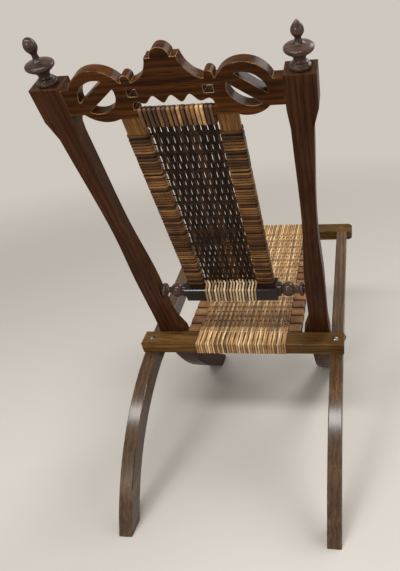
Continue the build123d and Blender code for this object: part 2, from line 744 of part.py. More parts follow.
# ---- woven back between the slats ----
back_weave_half = back_slat_inner_x - cane - soft_gap
weave_top = crest_base - bar_base + cane + soft_gap
weave_length = slat_drop_length - weave_top
openings_across = int(2 * back_weave_half / opening_pitch)
opening_rows = int((weave_length - rail_square) / opening_step)
with BuildPart() as back_cane:
    with BuildSketch(panel_plane.offset(-weave_set)):
        with Locations((0, -weave_top - weave_length / 2)):
            Rectangle(2 * back_weave_half, weave_length)
        # the rows of openings in the weave
        with Locations((0, -weave_top - opening_step * (opening_rows + 1) / 2)):
            with GridLocations(opening_pitch, opening_step, openings_across, opening_rows):
                Rectangle(opening_width, opening_height, mode=Mode.SUBTRACT)
    extrude(amount=-back_sheet)
    with BuildSketch(block_top.offset(cane + soft_gap)):
        Rectangle(2 * side_outer_x, 2 * side_outer_x)
    extrude(amount=-2 * rail_square, mode=Mode.SUBTRACT)
back_cane.part.label = "back_cane"
export_step(back_cane.part, "parts/back_cane.step")

# ---- cane lapped round the crest's bar and round the lower rail's block ----
crest_wrap_half = bar_half - soft_gap
with BuildPart() as crest_wrap:
    with BuildSketch(back_plane.offset(cane)):
        with Locations((0, (bar_base + slot_base) / 2)):
            Rectangle(2 * crest_wrap_half, slot_base - bar_base + 2 * cane)
    extrude(amount=-bar_thickness - 2 * cane)
    with BuildSketch(back_plane):
        with Locations((0, (bar_base + slot_base) / 2)):
            Rectangle(2 * crest_wrap_half, slot_base - bar_base)
    extrude(amount=-bar_thickness, mode=Mode.SUBTRACT)
crest_wrap.part.label = "crest_wrap"
export_step(crest_wrap.part, "parts/crest_wrap.step")

with BuildPart() as lower_rail_wrap:
    with BuildSketch(block_plane):
        Rectangle(2 * back_weave_half, rail_square + 2 * cane)
    extrude(amount=rail_square / 2 + cane, both=True)
    with BuildSketch(block_plane):
        Rectangle(2 * back_weave_half, rail_square)
    extrude(amount=rail_square / 2, both=True, mode=Mode.SUBTRACT)
lower_rail_wrap.part.label = "lower_rail_wrap"
export_step(lower_rail_wrap.part, "parts/lower_rail_wrap.step")

# ---- turned finials on the stiles ----
for side, sign in (("left", -1), ("right", 1)):
    seat = finial_plane(sign)
    with BuildPart() as finial:
        with BuildSketch(Plane(origin=seat.origin, x_dir=(1, 0, 0), z_dir=back_plane.z_dir)):
            with BuildLine():
                Polyline(
                    (0, -spigot_length),
                    (spigot_radius, -spigot_length),
                    (spigot_radius, 0),
                    (finial_foot_radius - edge_round, 0),
                )
                ThreePointArc(
                    (finial_foot_radius - edge_round, 0),
                    (finial_foot_radius, finial_foot_height / 2),
                    (finial_foot_radius - edge_round, finial_foot_height),
                )
                Spline(
                    (finial_foot_radius - edge_round, finial_foot_height),
                    (finial_waist_radius, finial_waist_height),
                    (finial_disc_radius / 2, finial_disc_height - finial_disc_half),
                    tangents=((-1, 0), (1, 0.3)),
                )
                Spline(
                    (finial_disc_radius / 2, finial_disc_height - finial_disc_half),
                    (finial_disc_radius, finial_disc_height),
                    (finial_disc_radius / 2, finial_disc_height + finial_disc_half),
                    tangents=((1, 0.3), (-1, 0.3)),
                )
                Spline(
                    (finial_disc_radius / 2, finial_disc_height + finial_disc_half),
                    (finial_neck_radius, finial_neck_height),
                    tangents=((-1, 0.3), (0, 1)),
                )
                Spline(
                    (finial_neck_radius, finial_neck_height),
                    (finial_egg_radius, finial_egg_height),
                    (0, finial_egg_height + finial_egg_half),
                    tangents=((0.1, 1), (-1, 0)),
                )
                Line((0, finial_egg_height + finial_egg_half), (0, -spigot_length))
            make_face()
        revolve(axis=Axis(seat.origin, seat.z_dir))
    finial.part.label = f"{side}_finial"
    export_step(finial.part, f"parts/{side}_finial.step")

# ---- turned brace between the front legs ----
brace_y, brace_z = along_back(brace_s, brace_set)
with BuildPart() as leg_brace:
    with BuildSketch(Plane(origin=(0, brace_y, brace_z), x_dir=(1, 0, 0), z_dir=(0, -1, 0))):
        with BuildLine():
            Polyline(
                (-shin_inner_x, brace_radius),
                (-shin_inner_x, brace_spigot_radius),
                (-shin_inner_x - brace_spigot_length, brace_spigot_radius),
                (-shin_inner_x - brace_spigot_length, 0),
                (shin_inner_x + brace_spigot_length, 0),
                (shin_inner_x + brace_spigot_length, brace_spigot_radius),
                (shin_inner_x, brace_spigot_radius),
                (shin_inner_x, brace_radius),
            )
            ThreePointArc((shin_inner_x, brace_radius), (0, brace_swell), (-shin_inner_x, brace_radius))
        make_face()
    revolve(axis=Axis((0, brace_y, brace_z), (1, 0, 0)))
leg_brace.part.label = "leg_brace"
export_step(leg_brace.part, "parts/leg_brace.step")

# ---- pivot bolts, washers and nuts ----
bolt_dome = (bolt_head_radius**2 + bolt_head_rise**2) / (2 * bolt_head_rise)
bolt_end_x = haunch_inner_x - washer_gap - nut_thickness - bolt_end_gap
with BuildPart() as pivot_bolts:
    with BuildSketch(Plane(origin=(0, pivot_y, pivot_height), x_dir=(1, 0, 0), z_dir=(0, -1, 0))):
        for sign in (-1, 1):
            with BuildLine():
                Polyline(
                    (sign * (side_outer_x + bolt_head_rise), 0),
                    (sign * bolt_end_x, 0),
                    (sign * bolt_end_x, bolt_radius),
                    (sign * side_outer_x, bolt_radius),
                    (sign * side_outer_x, bolt_head_radius),
                )
                RadiusArc(
                    (sign * side_outer_x, bolt_head_radius),
                    (sign * (side_outer_x + bolt_head_rise), 0),
                    sign * bolt_dome,
                )
            make_face()
    revolve(axis=Axis((0, pivot_y, pivot_height), (1, 0, 0)))
pivot_bolts.part.label = "pivot_bolts"
export_step(pivot_bolts.part, "parts/pivot_bolts.step")

washer_thickness = side_inner_x - haunch_outer_x - 2 * washer_gap
with BuildPart() as pivot_washers:
    for sign in (-1, 1):
        with BuildSketch(Plane.YZ.offset(sign * (side_inner_x - washer_gap))):
            with Locations((pivot_y, pivot_height)):
                Circle(washer_radius)
                Circle(bolt_radius + running_gap, mode=Mode.SUBTRACT)
        extrude(amount=-sign * washer_thickness)
pivot_washers.part.label = "pivot_washers"
export_step(pivot_washers.part, "parts/pivot_washers.step")

with BuildPart() as pivot_nuts:
    for sign in (-1, 1):
        with BuildSketch(Plane.YZ.offset(sign * (haunch_inner_x - washer_gap))):
            with Locations((pivot_y, pivot_height)):
                RegularPolygon(nut_radius, 6)
                Circle(bolt_radius + running_gap, mode=Mode.SUBTRACT)
        extrude(amount=-sign * nut_thickness)
pivot_nuts.part.label = "pivot_nuts"
export_step(pivot_nuts.part, "parts/pivot_nuts.step")
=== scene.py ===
# %% [markdown]
# # A folding chair with a caned seat and back
# The wooden pieces come from the CAD model, which already has their true shapes. They could be
# modelled again here, but then their joints might no longer meet, so they stay as they are and
# get a walnut finish. What a CAD model leaves plain is made strand by strand: the woven
# seat, the woven back, and the cane wound round the slats and rails. Everything is in metres.
# +Z is up and +Y is the way the sitter faces.

# %% Load the frame
import math

import bpy
import numpy as np
from mathutils import Euler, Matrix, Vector


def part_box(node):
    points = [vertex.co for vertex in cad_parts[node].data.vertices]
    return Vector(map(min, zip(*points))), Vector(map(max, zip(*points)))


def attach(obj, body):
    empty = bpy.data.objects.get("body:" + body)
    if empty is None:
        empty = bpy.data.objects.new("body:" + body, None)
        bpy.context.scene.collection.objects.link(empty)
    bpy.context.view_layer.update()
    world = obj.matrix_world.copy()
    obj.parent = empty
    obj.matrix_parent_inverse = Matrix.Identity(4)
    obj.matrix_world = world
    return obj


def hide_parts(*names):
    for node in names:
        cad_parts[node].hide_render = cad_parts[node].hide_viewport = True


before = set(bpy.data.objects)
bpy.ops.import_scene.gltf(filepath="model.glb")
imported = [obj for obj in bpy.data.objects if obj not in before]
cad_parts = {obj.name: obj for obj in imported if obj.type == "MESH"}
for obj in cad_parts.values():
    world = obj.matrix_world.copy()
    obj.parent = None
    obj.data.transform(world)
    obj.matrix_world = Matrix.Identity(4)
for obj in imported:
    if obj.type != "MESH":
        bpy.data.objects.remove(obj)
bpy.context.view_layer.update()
MM = 0.001

# %% [markdown]
# ## The camera
# The chair is seen from behind and a little above, by somebody standing close to it. A Track To
# constraint could aim the camera, but it can't lean it to one side, as a hand does, so its place
# and three turns are written out. The lens is given as a focal length in pixels of the frame,
# which the sensor's width turns into millimetres, and the shift slides the view sideways
# without turning the camera.

# %% Set the camera
FRAME_SIZE = (400, 571)
FRAME_LONG_SIDE = max(FRAME_SIZE)
FOCAL_LENGTH_PX = 500
STRAIGHT_AHEAD_PX = (292.7, 302.6)
CAMERA_PLACE = (0.2595, -1.0303, 0.8864)
CAMERA_TURNS = (61.53, 3.68, 6.44)

camera = bpy.data.objects.new("camera", bpy.data.cameras.new("camera"))
bpy.context.scene.collection.objects.link(camera)
bpy.context.scene.camera = camera
camera.location = CAMERA_PLACE
camera.rotation_euler = Euler([math.radians(a) for a in CAMERA_TURNS])
camera.data.sensor_width = 36
camera.data.lens = FOCAL_LENGTH_PX * camera.data.sensor_width / FRAME_LONG_SIDE
camera.data.shift_x = -(STRAIGHT_AHEAD_PX[0] - FRAME_SIZE[0] / 2) / FRAME_LONG_SIDE
camera.data.shift_y = (STRAIGHT_AHEAD_PX[1] - FRAME_SIZE[1] / 2) / FRAME_LONG_SIDE
print("lens", round(camera.data.lens, 2), "mm, turned", CAMERA_TURNS, "degrees")

# %% [markdown]
# ## A short way to wire nodes
# A finish is a web of small nodes, and each of them does one simple sum. They could be laid out
# by hand in the Shader Editor, but a script shows every value in one place and can use a web
# again with other tones. Joining sockets one by one makes long code, so this helper takes a
# node's inputs as a dictionary: a socket in it is joined, and anything else is set as a value.

# %% Define the wiring


class Wiring:
    """The nodes of a material or of the world, with a short way to add and join them."""

    def __init__(self, owner):
        owner.use_nodes = True
        self.owner = owner
        self.nodes, self.links = owner.node_tree.nodes, owner.node_tree.links
        self.shader = self.nodes.get("Principled BSDF")

    def fill(self, node, joins):
        """Joins or sets the inputs of a node."""
        for socket, source in joins.items():
            if isinstance(source, bpy.types.NodeSocket):
                self.links.new(source, node.inputs[socket])
            else:
                node.inputs[socket].default_value = source
        return node

    def add(self, kind, joins=None, **settings):
        node = self.nodes.new(kind)
        for key, value in settings.items():
            setattr(node, key, value)
        return self.fill(node, joins or {})

    def noise(self, vector, scale, detail, **joins):
        joins = {"Vector": vector, "Scale": scale, "Detail": detail, **joins}
        return self.add("ShaderNodeTexNoise", joins).outputs[0]

    def bump(self, height, strength, distance, **joins):
        joins = {"Height": height, "Strength": strength, "Distance": distance, **joins}
        return self.add("ShaderNodeBump", joins).outputs[0]

    def ramp(self, source, stops):
        """Turns a number into a colour, by stops that each give a place and a colour."""
        node = self.add("ShaderNodeValToRGB", {"Fac": source})
        elements = node.color_ramp.elements
        while len(elements) < len(stops):
            elements.new(0.5)
        for element, (place, tone) in zip(elements, stops):
            element.position = place
            element.color = (*tone, 1)
        return node.outputs["Color"]

    def mix(self, share, a, b, blend="MIX"):
        """Goes from colour a to colour b by share, or multiplies them, as blend says."""
        a, b = (tone if isinstance(tone, bpy.types.NodeSocket) else (*tone, 1) for tone in (a, b))
        joins = {0: share, 6: a, 7: b}
        return self.add("ShaderNodeMix", joins, data_type="RGBA", blend_type=blend).outputs[2]


def grey(value):
    return (value, value, value)


print("wiring ready, mid grey is", grey(0.5))

# %% [markdown]
# ## The floor and the surround
# A pale floor and a pale surround keep the attention on the chair. A curved studio backdrop
# would do it too, but its bend could show in a low view. Here the floor is one large flat sheet
# that takes the colour of the surround far from the chair, so that no horizon shows. Only the
# camera, reflections and glass see that colour, so it adds no light of its own to the chair.

# %% Lay the floor
FLOOR_REACH = 14

floor_mesh = bpy.data.meshes.new("floor")
floor_corners = [(x * FLOOR_REACH, y * FLOOR_REACH, 0) for x, y in ((-1, -1), (1, -1), (1, 1), (-1, 1))]
floor_mesh.from_pydata(floor_corners, [], [(0, 1, 2, 3)])
floor = bpy.data.objects.new("floor", floor_mesh)
bpy.context.scene.collection.objects.link(floor)
print("floor", 2 * FLOOR_REACH, "m across")

# %% Colour the floor
PALE = (0.62, 0.575, 0.52, 1)
FLOOR_TONE = (0.56, 0.52, 0.47, 1)
FADE_START, FADE_END = 0.9, 3.2


def seen_directly(w):
    """One for rays from the camera, a reflection or glass, and nothing for rays of light."""
    rays = w.add("ShaderNodeLightPath").outputs
    first = w.add("ShaderNodeMath", {0: rays["Is Camera Ray"], 1: rays["Is Glossy Ray"]}, operation="MAXIMUM")
    both = w.add("ShaderNodeMath", {0: first.outputs[0], 1: rays["Is Transmission Ray"]}, operation="MAXIMUM")
    return both.outputs[0]


w = Wiring(bpy.data.materials.new("pale_floor"))
w.fill(w.shader, {"Base Color": FLOOR_TONE, "Roughness": 0.8})
place = w.add("ShaderNodeTexCoord").outputs["Object"]
from_chair = w.add("ShaderNodeVectorMath", {0: place}, operation="LENGTH").outputs["Value"]
limits = {"Value": from_chair, "From Min": FADE_START, "From Max": FADE_END}
fade = w.add("ShaderNodeMapRange", limits, interpolation_type="SMOOTHSTEP")
share = w.add("ShaderNodeMath", {0: fade.outputs[0], 1: seen_directly(w)}, operation="MULTIPLY")
glow = w.add("ShaderNodeEmission", {"Color": PALE})
blend = w.add("ShaderNodeMixShader", {0: share.outputs[0], 1: w.shader.outputs[0], 2: glow.outputs[0]})
w.fill(w.nodes["Material Output"], {"Surface": blend.outputs[0]})
floor.data.materials.append(w.owner)
print("the floor fades from", FADE_START, "to", FADE_END, "m")

# %% Surround the chair
AMBIENT_TONE = (1, 0.98, 0.95, 1)
AMBIENT_STRENGTH = 0.34

world = bpy.data.worlds.new("surround")
bpy.context.scene.world = world
w = Wiring(world)
ambient = w.fill(w.nodes["Background"], {"Color": AMBIENT_TONE, "Strength": AMBIENT_STRENGTH})
backdrop = w.add("ShaderNodeBackground", {"Color": PALE})
choose = w.add("ShaderNodeMixShader", {0: seen_directly(w), 1: ambient.outputs[0], 2: backdrop.outputs[0]})
w.fill(w.nodes["World Output"], {"Surface": choose.outputs[0]})
print("surround", [round(c, 2) for c in PALE[:3]], "ambient strength", AMBIENT_STRENGTH)

# %% [markdown]
# ## The lamps
# A single strong lamp would leave the hollows of the weave black, and an even dome of light
# would leave polished wood dull, because polish shows only where a bright shape is mirrored. So
# there are four soft lamps. The key lamp hangs high in front of the chair and lights its top
# edges, two others fill the side that is seen, and a long narrow one, like a window, is
# mirrored as one bright bar in the bend of each rear leg.

# %% Hang the lamps
CHAIR_MIDDLE = (0, 0, 0.4)
LAMPS = {
    "key_lamp": ((1.4, 1.3, 2.6), CHAIR_MIDDLE, (1.4, 1.4), 46),
    "window": ((-0.4, -1.03, 2.05), (-0.4, -0.3, 0.2), (1.7, 0.35), 28),
    "fill_lamp": ((-0.75, -2.5, 1.3), CHAIR_MIDDLE, (0.5, 0.5), 20),
    "side_lamp": ((2.2, -1.2, 1.4), CHAIR_MIDDLE, (1.6, 1.6), 14),
}
for name, (place, aim, size, watts) in LAMPS.items():
    lamp = bpy.data.objects.new(name, bpy.data.lights.new(name, "AREA"))
    bpy.context.scene.collection.objects.link(lamp)
    lamp.data.shape = "RECTANGLE"
    lamp.data.size, lamp.data.size_y = size
    lamp.data.energy = watts
    lamp.location = place
    lamp.rotation_euler = (Vector(aim) - Vector(place)).to_track_quat("-Z", "Y").to_euler()
bpy.context.scene.view_settings.view_transform = "Standard"

# %% [markdown]
# ## A walnut finish
# Old polished walnut is a dark red-brown with long streaks along the board, fine dark pores in
# the same direction, and corners rubbed paler by hands; here the corners are painted paler still,
# as a painted highlight along the polished edges. It could be painted on each piece, but
# noise that is stretched along the grain gives streaks and pores on any shape, without seams,
# and a Bevel node, which tells a corner from a flat face, finds the edges to pale. So one recipe
# does every wooden piece: other tones make another wood, and turned coordinates lay the grain
# along each board.

# %% Draw the grain
GRAIN_STRETCH = 12
PORE_STRETCH = 30


def along_grain(w, place, turn, stretch):
    """Coordinates stretched along the grain, so that noise on them comes out as streaks."""
    joins = {"Vector": place, "Rotation": [math.radians(a) for a in turn], "Scale": (1, 1, stretch)}
    return w.add("ShaderNodeMapping", joins, vector_type="TEXTURE").outputs[0]


def grained(w, tones, grain, streaks, pits, cloud):
    """The colour of the wood itself: streaks, then wavy figure, then pores, then old dark patches."""
    dark, middle, light = tones
    wave = {"Vector": grain, "Scale": 30, "Distortion": 7, "Detail": 3, "Detail Scale": 1.6}
    figure = w.add("ShaderNodeTexWave", wave).outputs["Fac"]
    body = w.ramp(streaks, [(0.28, dark), (0.5, middle), (0.72, light)])
    lined = w.mix(0.34, body, w.ramp(figure, [(0.1, dark), (0.8, light)]))
    pitted = w.mix(w.ramp(pits, [(0.34, grey(0.75)), (0.46, grey(0))]), lined, [c * 0.35 for c in dark])
    return w.mix(w.ramp(cloud, [(0.35, grey(0.5)), (0.62, grey(0))]), pitted, dark)


print("grain drawn out", GRAIN_STRETCH, "times, pores", PORE_STRETCH, "times")

# %% Find the worn and highlit corners


def worn_and_highlit(w, place, rounded, wear_and_highlight):
    """How far each point is paled by wear and by a painted highlight: most at a corner, in patches, and not
    at all on a flat face.
    """
    flat = w.add("ShaderNodeNewGeometry").outputs["Normal"]
    meet = w.add("ShaderNodeVectorMath", {0: rounded, 1: flat}, operation="DOT_PRODUCT").outputs["Value"]
    edge = w.ramp(meet, [(0.88, grey(wear_and_highlight)), (0.995, grey(0))])
    patches = w.ramp(w.noise(place, 55, 4), [(0.4, grey(0.1)), (0.6, grey(1))])
    return w.mix(1.0, edge, patches, "MULTIPLY")


def pale_ends(w, place, colour, start, tone):
    """Turns the colour into tone beyond start, measured sideways from the chair's middle."""
    sideways = w.add("ShaderNodeSeparateXYZ", {0: place}).outputs[0]
    reach = w.add("ShaderNodeMath", {0: sideways}, operation="ABSOLUTE").outputs[0]
    turned = w.add("ShaderNodeMapRange", {"Value": reach, "From Min": start, "From Max": start + 2 * MM})
    return w.mix(turned.outputs[0], colour, tone)


print("corners ready to rub")

# %% Mix the walnut


def walnut(name, tones, rubbed_and_highlit, turn, gloss=0.3, wear_and_highlight=0.5, coat=0.12, round_to=1.6 * MM, ends=None):
    """Polished wood. tones are its dark, middle and light streaks, and the next colour is a corner's, paled
    by wear and by a painted highlight.

    turn is how the grain is turned from upright, in degrees about X, Y and Z. ends says how far
    from the chair's middle a piece's turned ends begin, and their tone.
    """
    w = Wiring(bpy.data.materials.new(name))
    place = w.add("ShaderNodeTexCoord").outputs["Object"]
    grain = along_grain(w, place, turn, GRAIN_STRETCH)
    streaks = w.noise(grain, 42, 5, Distortion=1.2)
    pits = w.noise(along_grain(w, place, turn, PORE_STRETCH), 620, 2)
    cloud = w.noise(place, 9, 3)
    colour = grained(w, tones, grain, streaks, pits, cloud)
    if ends:
        colour = pale_ends(w, place, colour, *ends)
    rounded = w.add("ShaderNodeBevel", {"Radius": round_to}, samples=6).outputs[0]
    pitted = w.bump(pits, 0.16, 0.4 * MM, Normal=rounded)
    look = {
        # corners paled by wear and by a painted highlight
        "Base Color": w.mix(worn_and_highlit(w, place, rounded, wear_and_highlight), colour, rubbed_and_highlit),
        "Roughness": w.ramp(cloud, [(0.3, grey(gloss * 0.8)), (0.7, grey(gloss * 1.45))]),
        "Normal": w.bump(streaks, 0.1, 0.8 * MM, Normal=pitted),
        "Specular IOR Level": 0.03,
        "Coat Weight": coat,
        "Coat Roughness": gloss * 0.45,
    }
    w.fill(w.shader, look)
    return w.owner


ALONG_BACK = (22.5, 0, 0)
ALONG_BOARD = (-77.5, 0, 0)
ACROSS = (0, 90, 0)
print("recipe for walnut ready")

# %% Mix the woods of the boards
stile_walnut = walnut(
    "stile_walnut",
    tones=((0.024, 0.0075, 0.003), (0.047, 0.0165, 0.006), (0.080, 0.030, 0.011)),
    rubbed_and_highlit=(0.20, 0.10, 0.05),
    turn=ALONG_BACK,
    coat=0.07,
)
# its corners are painted much paler, as wear and as a painted highlight along its top edge
crest_walnut = walnut(
    "crest_walnut",
    tones=((0.016, 0.0045, 0.001), (0.049, 0.0145, 0.002), (0.106, 0.035, 0.0055)),
    rubbed_and_highlit=(0.46, 0.27, 0.13),
    turn=ACROSS,
    gloss=0.36,
    wear_and_highlight=1.0,
    coat=0.07,
)
leg_walnut = walnut(
    "leg_walnut",
    tones=((0.024, 0.0095, 0.0025), (0.064, 0.028, 0.007), (0.138, 0.066, 0.020)),
    rubbed_and_highlit=(0.34, 0.20, 0.10),
    turn=ALONG_BOARD,
    gloss=0.44,
    coat=1.0,
)
rail_walnut = walnut(
    "rail_walnut",
    tones=((0.032, 0.014, 0.004), (0.092, 0.043, 0.011), (0.190, 0.096, 0.028)),
    rubbed_and_highlit=(0.42, 0.25, 0.11),
    turn=ACROSS,
    wear_and_highlight=1.0,
)
slat_wood = walnut(
    "slat_wood",
    tones=((0.060, 0.024, 0.006), (0.165, 0.072, 0.018), (0.28, 0.135, 0.040)),
    rubbed_and_highlit=(0.3, 0.19, 0.1),
    turn=ALONG_BACK,
)
print("boards:", [m.name for m in (stile_walnut, crest_walnut, leg_walnut, rail_walnut, slat_wood)])

# %% [markdown]
# ## The turned and the black pieces
# The finials are darker and greyer than the boards, under a thick old varnish. The lower rail of
# the back has a square middle stained black, like ebony, with ends turned in plain wood. It is
# one piece of wood, so it isn't cut in two here either: its finish changes tone where the
# turning begins.

# %% Mix the turned and the black wood
TURNING_START = 103 * MM

turned_walnut = walnut(
    "turned_walnut",
    tones=((0.020, 0.010, 0.007), (0.055, 0.029, 0.020), (0.105, 0.060, 0.042)),
    rubbed_and_highlit=(0.20, 0.13, 0.10),
    turn=ACROSS,
    gloss=0.5,
    wear_and_highlight=0.4,
    coat=0.45,
)
ebony_walnut = walnut(
    "ebony_walnut",
    tones=((0.008, 0.0045, 0.0035), (0.014, 0.008, 0.0055), (0.028, 0.016, 0.011)),
    rubbed_and_highlit=(0.10, 0.075, 0.06),
    turn=ACROSS,
    gloss=0.2,
    wear_and_highlight=0.4,
    coat=0.4,
    round_to=5 * MM,
    ends=(TURNING_START, (0.048, 0.025, 0.016)),
)
print("turned and black wood:", turned_walnut.name, ebony_walnut.name)

# %% [markdown]
# ## Metal for the screws and the pivots
# The screws are old steel, dull and a little dirty in the low places, and the pivot bolts are
# blackened iron. A plain grey metal would look new, so a soft cloud of noise changes its colour
# and its shine together, as dirt does. Both metals are this one recipe with other tones.

# %% Mix the metal


def old_metal(name, clean, dirty, gloss):
    w = Wiring(bpy.data.materials.new(name))
    place = w.add("ShaderNodeTexCoord").outputs["Object"]
    cloud = w.noise(place, 240, 5)
    specks = w.add("ShaderNodeTexVoronoi", {"Vector": place, "Scale": 900}).outputs["Distance"]
    look = {
        "Base Color": w.ramp(cloud, [(0.36, dirty), (0.62, clean)]),
        "Roughness": w.ramp(cloud, [(0.3, grey(gloss * 1.7)), (0.7, grey(gloss))]),
        "Normal": w.bump(specks, 0.15, 0.2 * MM),
        "Metallic": 1.0,
    }
    w.fill(w.shader, look)
    return w.owner


screw_steel = old_metal("screw_steel", clean=(0.27, 0.25, 0.23), dirty=(0.07, 0.05, 0.04), gloss=0.28)
pivot_iron = old_metal("pivot_iron", clean=(0.12, 0.115, 0.11), dirty=(0.04, 0.032, 0.028), gloss=0.38)
print("metals:", screw_steel.name, pivot_iron.name)

# %% [markdown]
# ## Finish the CAD pieces
# The wooden and metal pieces have the right shape, so each only gets a finish in place of its
# plain colour. The list could run the other way, from piece to finish, but listed by finish it
# shows at a glance which pieces were cut from the same wood.

# %% Assign the finishes
FINISHES = {
    stile_walnut: ["left_stile", "right_stile"],
    crest_walnut: ["crest_rail"],
    leg_walnut: ["left_side_leg", "right_side_leg"],
    rail_walnut: ["rear_seat_rail", "front_seat_rail", "front_rail_pegs"],
    turned_walnut: ["left_finial", "right_finial", "leg_brace"],
    ebony_walnut: ["lower_back_rail"],
    slat_wood: ["left_seat_slat", "right_seat_slat", "left_back_slat", "right_back_slat"],
    screw_steel: ["rear_rail_screws"],
    pivot_iron: ["pivot_bolts", "pivot_washers", "pivot_nuts"],
}
for finish, node_names in FINISHES.items():
    for node_name in node_names:
        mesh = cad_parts[node_name].data
        mesh.materials.clear()
        mesh.materials.append(finish)
print("finished nodes:", sum(len(names) for names in FINISHES.values()))

# %% [markdown]
# ## A cane finish
# Cane is the skin of a climbing palm, split into flat strands. It has fine fibres along its
# length, each strand has its own tone, and dirt gathers along its edges, which are also painted
# darker as shade, where a strand rounds down between its neighbours. One noise for all of
# it would run straight across the weave, so the fibres follow UVs, across and along each
# strand, round every bend. The Random Per Island output gives each strand its tone, with one
# material for all.

# %% Mix the cane
# across a strand, from edge to edge over its top: 1 is dirt and painted shade, 0 is clean cane
DIRT_AND_SHADE_EDGES = [(0.0, 1), (0.07, 0.6), (0.2, 0), (0.42, 0), (0.55, 0.6), (0.61, 1)]
FIBRES = (7, 26, 1)
BACK_SHADOW_TONE = (0.45, 0.36, 0.26)


def painted_back_shadow(w, place, colour, start, deepest_shade, end):
    """Darkens the colour between two places along Y as a painted shadow of the back, most at the second of
    its three places.
    """
    depth = w.add("ShaderNodeSeparateXYZ", {0: place}).outputs[1]
    along = w.add("ShaderNodeMapRange", {0: depth, 1: start, 2: end}).outputs[0]
    turning = (deepest_shade - start) / (end - start)
    # the painted shadow: light at the rail, darkest just in front of it, fading out forwards
    shadow_share = w.ramp(along, [(0.0, grey(0.15)), (turning, grey(1)), (2 * turning, grey(0.9)), (1.0, grey(0))])
    return w.mix(shadow_share, colour, BACK_SHADOW_TONE, "MULTIPLY")


def cane(name, tones, dirt_and_shade, gloss=0.4, dirty=0.5, sheen=0.25, back_shadow=None):
    """A cane finish. tones go from the darkest strand to the palest, and the next colour is that of dirt and
    of the painted shade along a strand's edges.

    The last argument gives three places along Y for a painted shadow of the back: where the shadow
    starts, where it is darkest, and where it has faded out again.
    """
    w = Wiring(bpy.data.materials.new(name))
    coordinates = w.add("ShaderNodeTexCoord").outputs
    uv, place = coordinates["UV"], coordinates["Object"]
    own = w.add("ShaderNodeNewGeometry").outputs["Random Per Island"]
    strand = w.ramp(own, [(i / (len(tones) - 1), tone) for i, tone in enumerate(tones)])

    # each strand reads another slice of the noise, so that no two have the same fibres
    fibres = w.add("ShaderNodeMapping", {"Vector": uv, "Scale": FIBRES}).outputs[0]
    slice_of_own = w.add("ShaderNodeCombineXYZ", {"Z": own}).outputs[0]
    spread = w.add("ShaderNodeVectorMath", {0: slice_of_own, 1: (0, 0, 40)}, operation="MULTIPLY").outputs[0]
    moved = w.add("ShaderNodeVectorMath", {0: fibres, 1: spread}, operation="ADD").outputs[0]
    streak = w.noise(moved, 1.6, 5)

    light_and_dark = w.ramp(streak, [(0.28, grey(0.55)), (0.5, grey(0.95)), (0.7, grey(1.3))])
    streaked = w.mix(1.0, strand, light_and_dark, "MULTIPLY")
    colour = w.mix(w.ramp(w.noise(place, 38, 4), [(0.36, grey(dirty)), (0.56, grey(0))]), streaked, dirt_and_shade)
    # darker towards the rear rail: a painted shadow of the leaning back
    if back_shadow:
        colour = painted_back_shadow(w, place, colour, *back_shadow)
    across = w.add("ShaderNodeSeparateXYZ", {0: uv}).outputs[0]
    # darker at both edges of a strand: dirt, and painted shade where it rounds down
    edge = w.ramp(across, [(at, grey(value)) for at, value in DIRT_AND_SHADE_EDGES])
    look = {
        "Base Color": w.mix(edge, colour, dirt_and_shade),
        "Roughness": w.ramp(streak, [(0.3, grey(gloss * 1.4)), (0.7, grey(gloss * 0.8))]),
        "Normal": w.bump(streak, 0.25, 0.25 * MM),
        "Specular IOR Level": sheen,
    }
    w.fill(w.shader, look)
    return w.owner


print("recipe for cane ready")

# %% Mix the canes of the seat
# the seat is painted darkest just in front of the rear rail, as a painted shadow of the leaning back above it
rear_rail_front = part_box("rear_seat_rail")[1][1]
BACK_SHADOW_SPAN = (rear_rail_front - 4 * MM, rear_rail_front + 22 * MM, 0.06)

straw_cane = cane(
    "straw_cane",
    [(0.22, 0.11, 0.038), (0.46, 0.255, 0.10), (0.65, 0.405, 0.175), (0.85, 0.62, 0.33)],
    (0.05, 0.022, 0.008),
    dirty=0.4,
    back_shadow=BACK_SHADOW_SPAN,
)
brown_cane = cane(
    "brown_cane",
    [(0.08, 0.036, 0.014), (0.15, 0.075, 0.03), (0.24, 0.13, 0.055)],
    (0.03, 0.013, 0.006),
    dirty=0.4,
    back_shadow=BACK_SHADOW_SPAN,
)
orange_cane = cane(
    "orange_cane",
    [(0.16, 0.068, 0.021), (0.26, 0.12, 0.038), (0.38, 0.20, 0.075)],
    (0.05, 0.021, 0.008),
    gloss=0.36,
)
print("browned from y =", [round(float(y), 3) for y in BACK_SHADOW_SPAN])

# %% Mix the canes of the back
pale_cane = cane(
    "pale_cane",
    [(0.13, 0.07, 0.028), (0.38, 0.24, 0.115), (0.80, 0.61, 0.37)],
    (0.03, 0.014, 0.006),
    dirty=0.45,
    sheen=0.45,
)
golden_cane = cane(
    "golden_cane",
    [(0.045, 0.017, 0.004), (0.10, 0.040, 0.010), (0.18, 0.078, 0.020), (0.30, 0.145, 0.042)],
    (0.012, 0.005, 0.002),
    gloss=0.34,
    sheen=0.15,
)
bright_cane = cane(
    "bright_cane",
    [(0.05, 0.019, 0.005), (0.13, 0.054, 0.015), (0.29, 0.14, 0.042), (0.60, 0.35, 0.145)],
    (0.012, 0.005, 0.002),
    gloss=0.34,
    sheen=0.3,
)
dark_cane = cane(
    "dark_cane",
    [(0.010, 0.0045, 0.002), (0.026, 0.012, 0.0055), (0.062, 0.029, 0.013)],
    (0.006, 0.003, 0.002),
    gloss=0.5,
    sheen=0.1,
)
print("cane finishes:", [m.name for m in bpy.data.materials if "cane" in m.name])

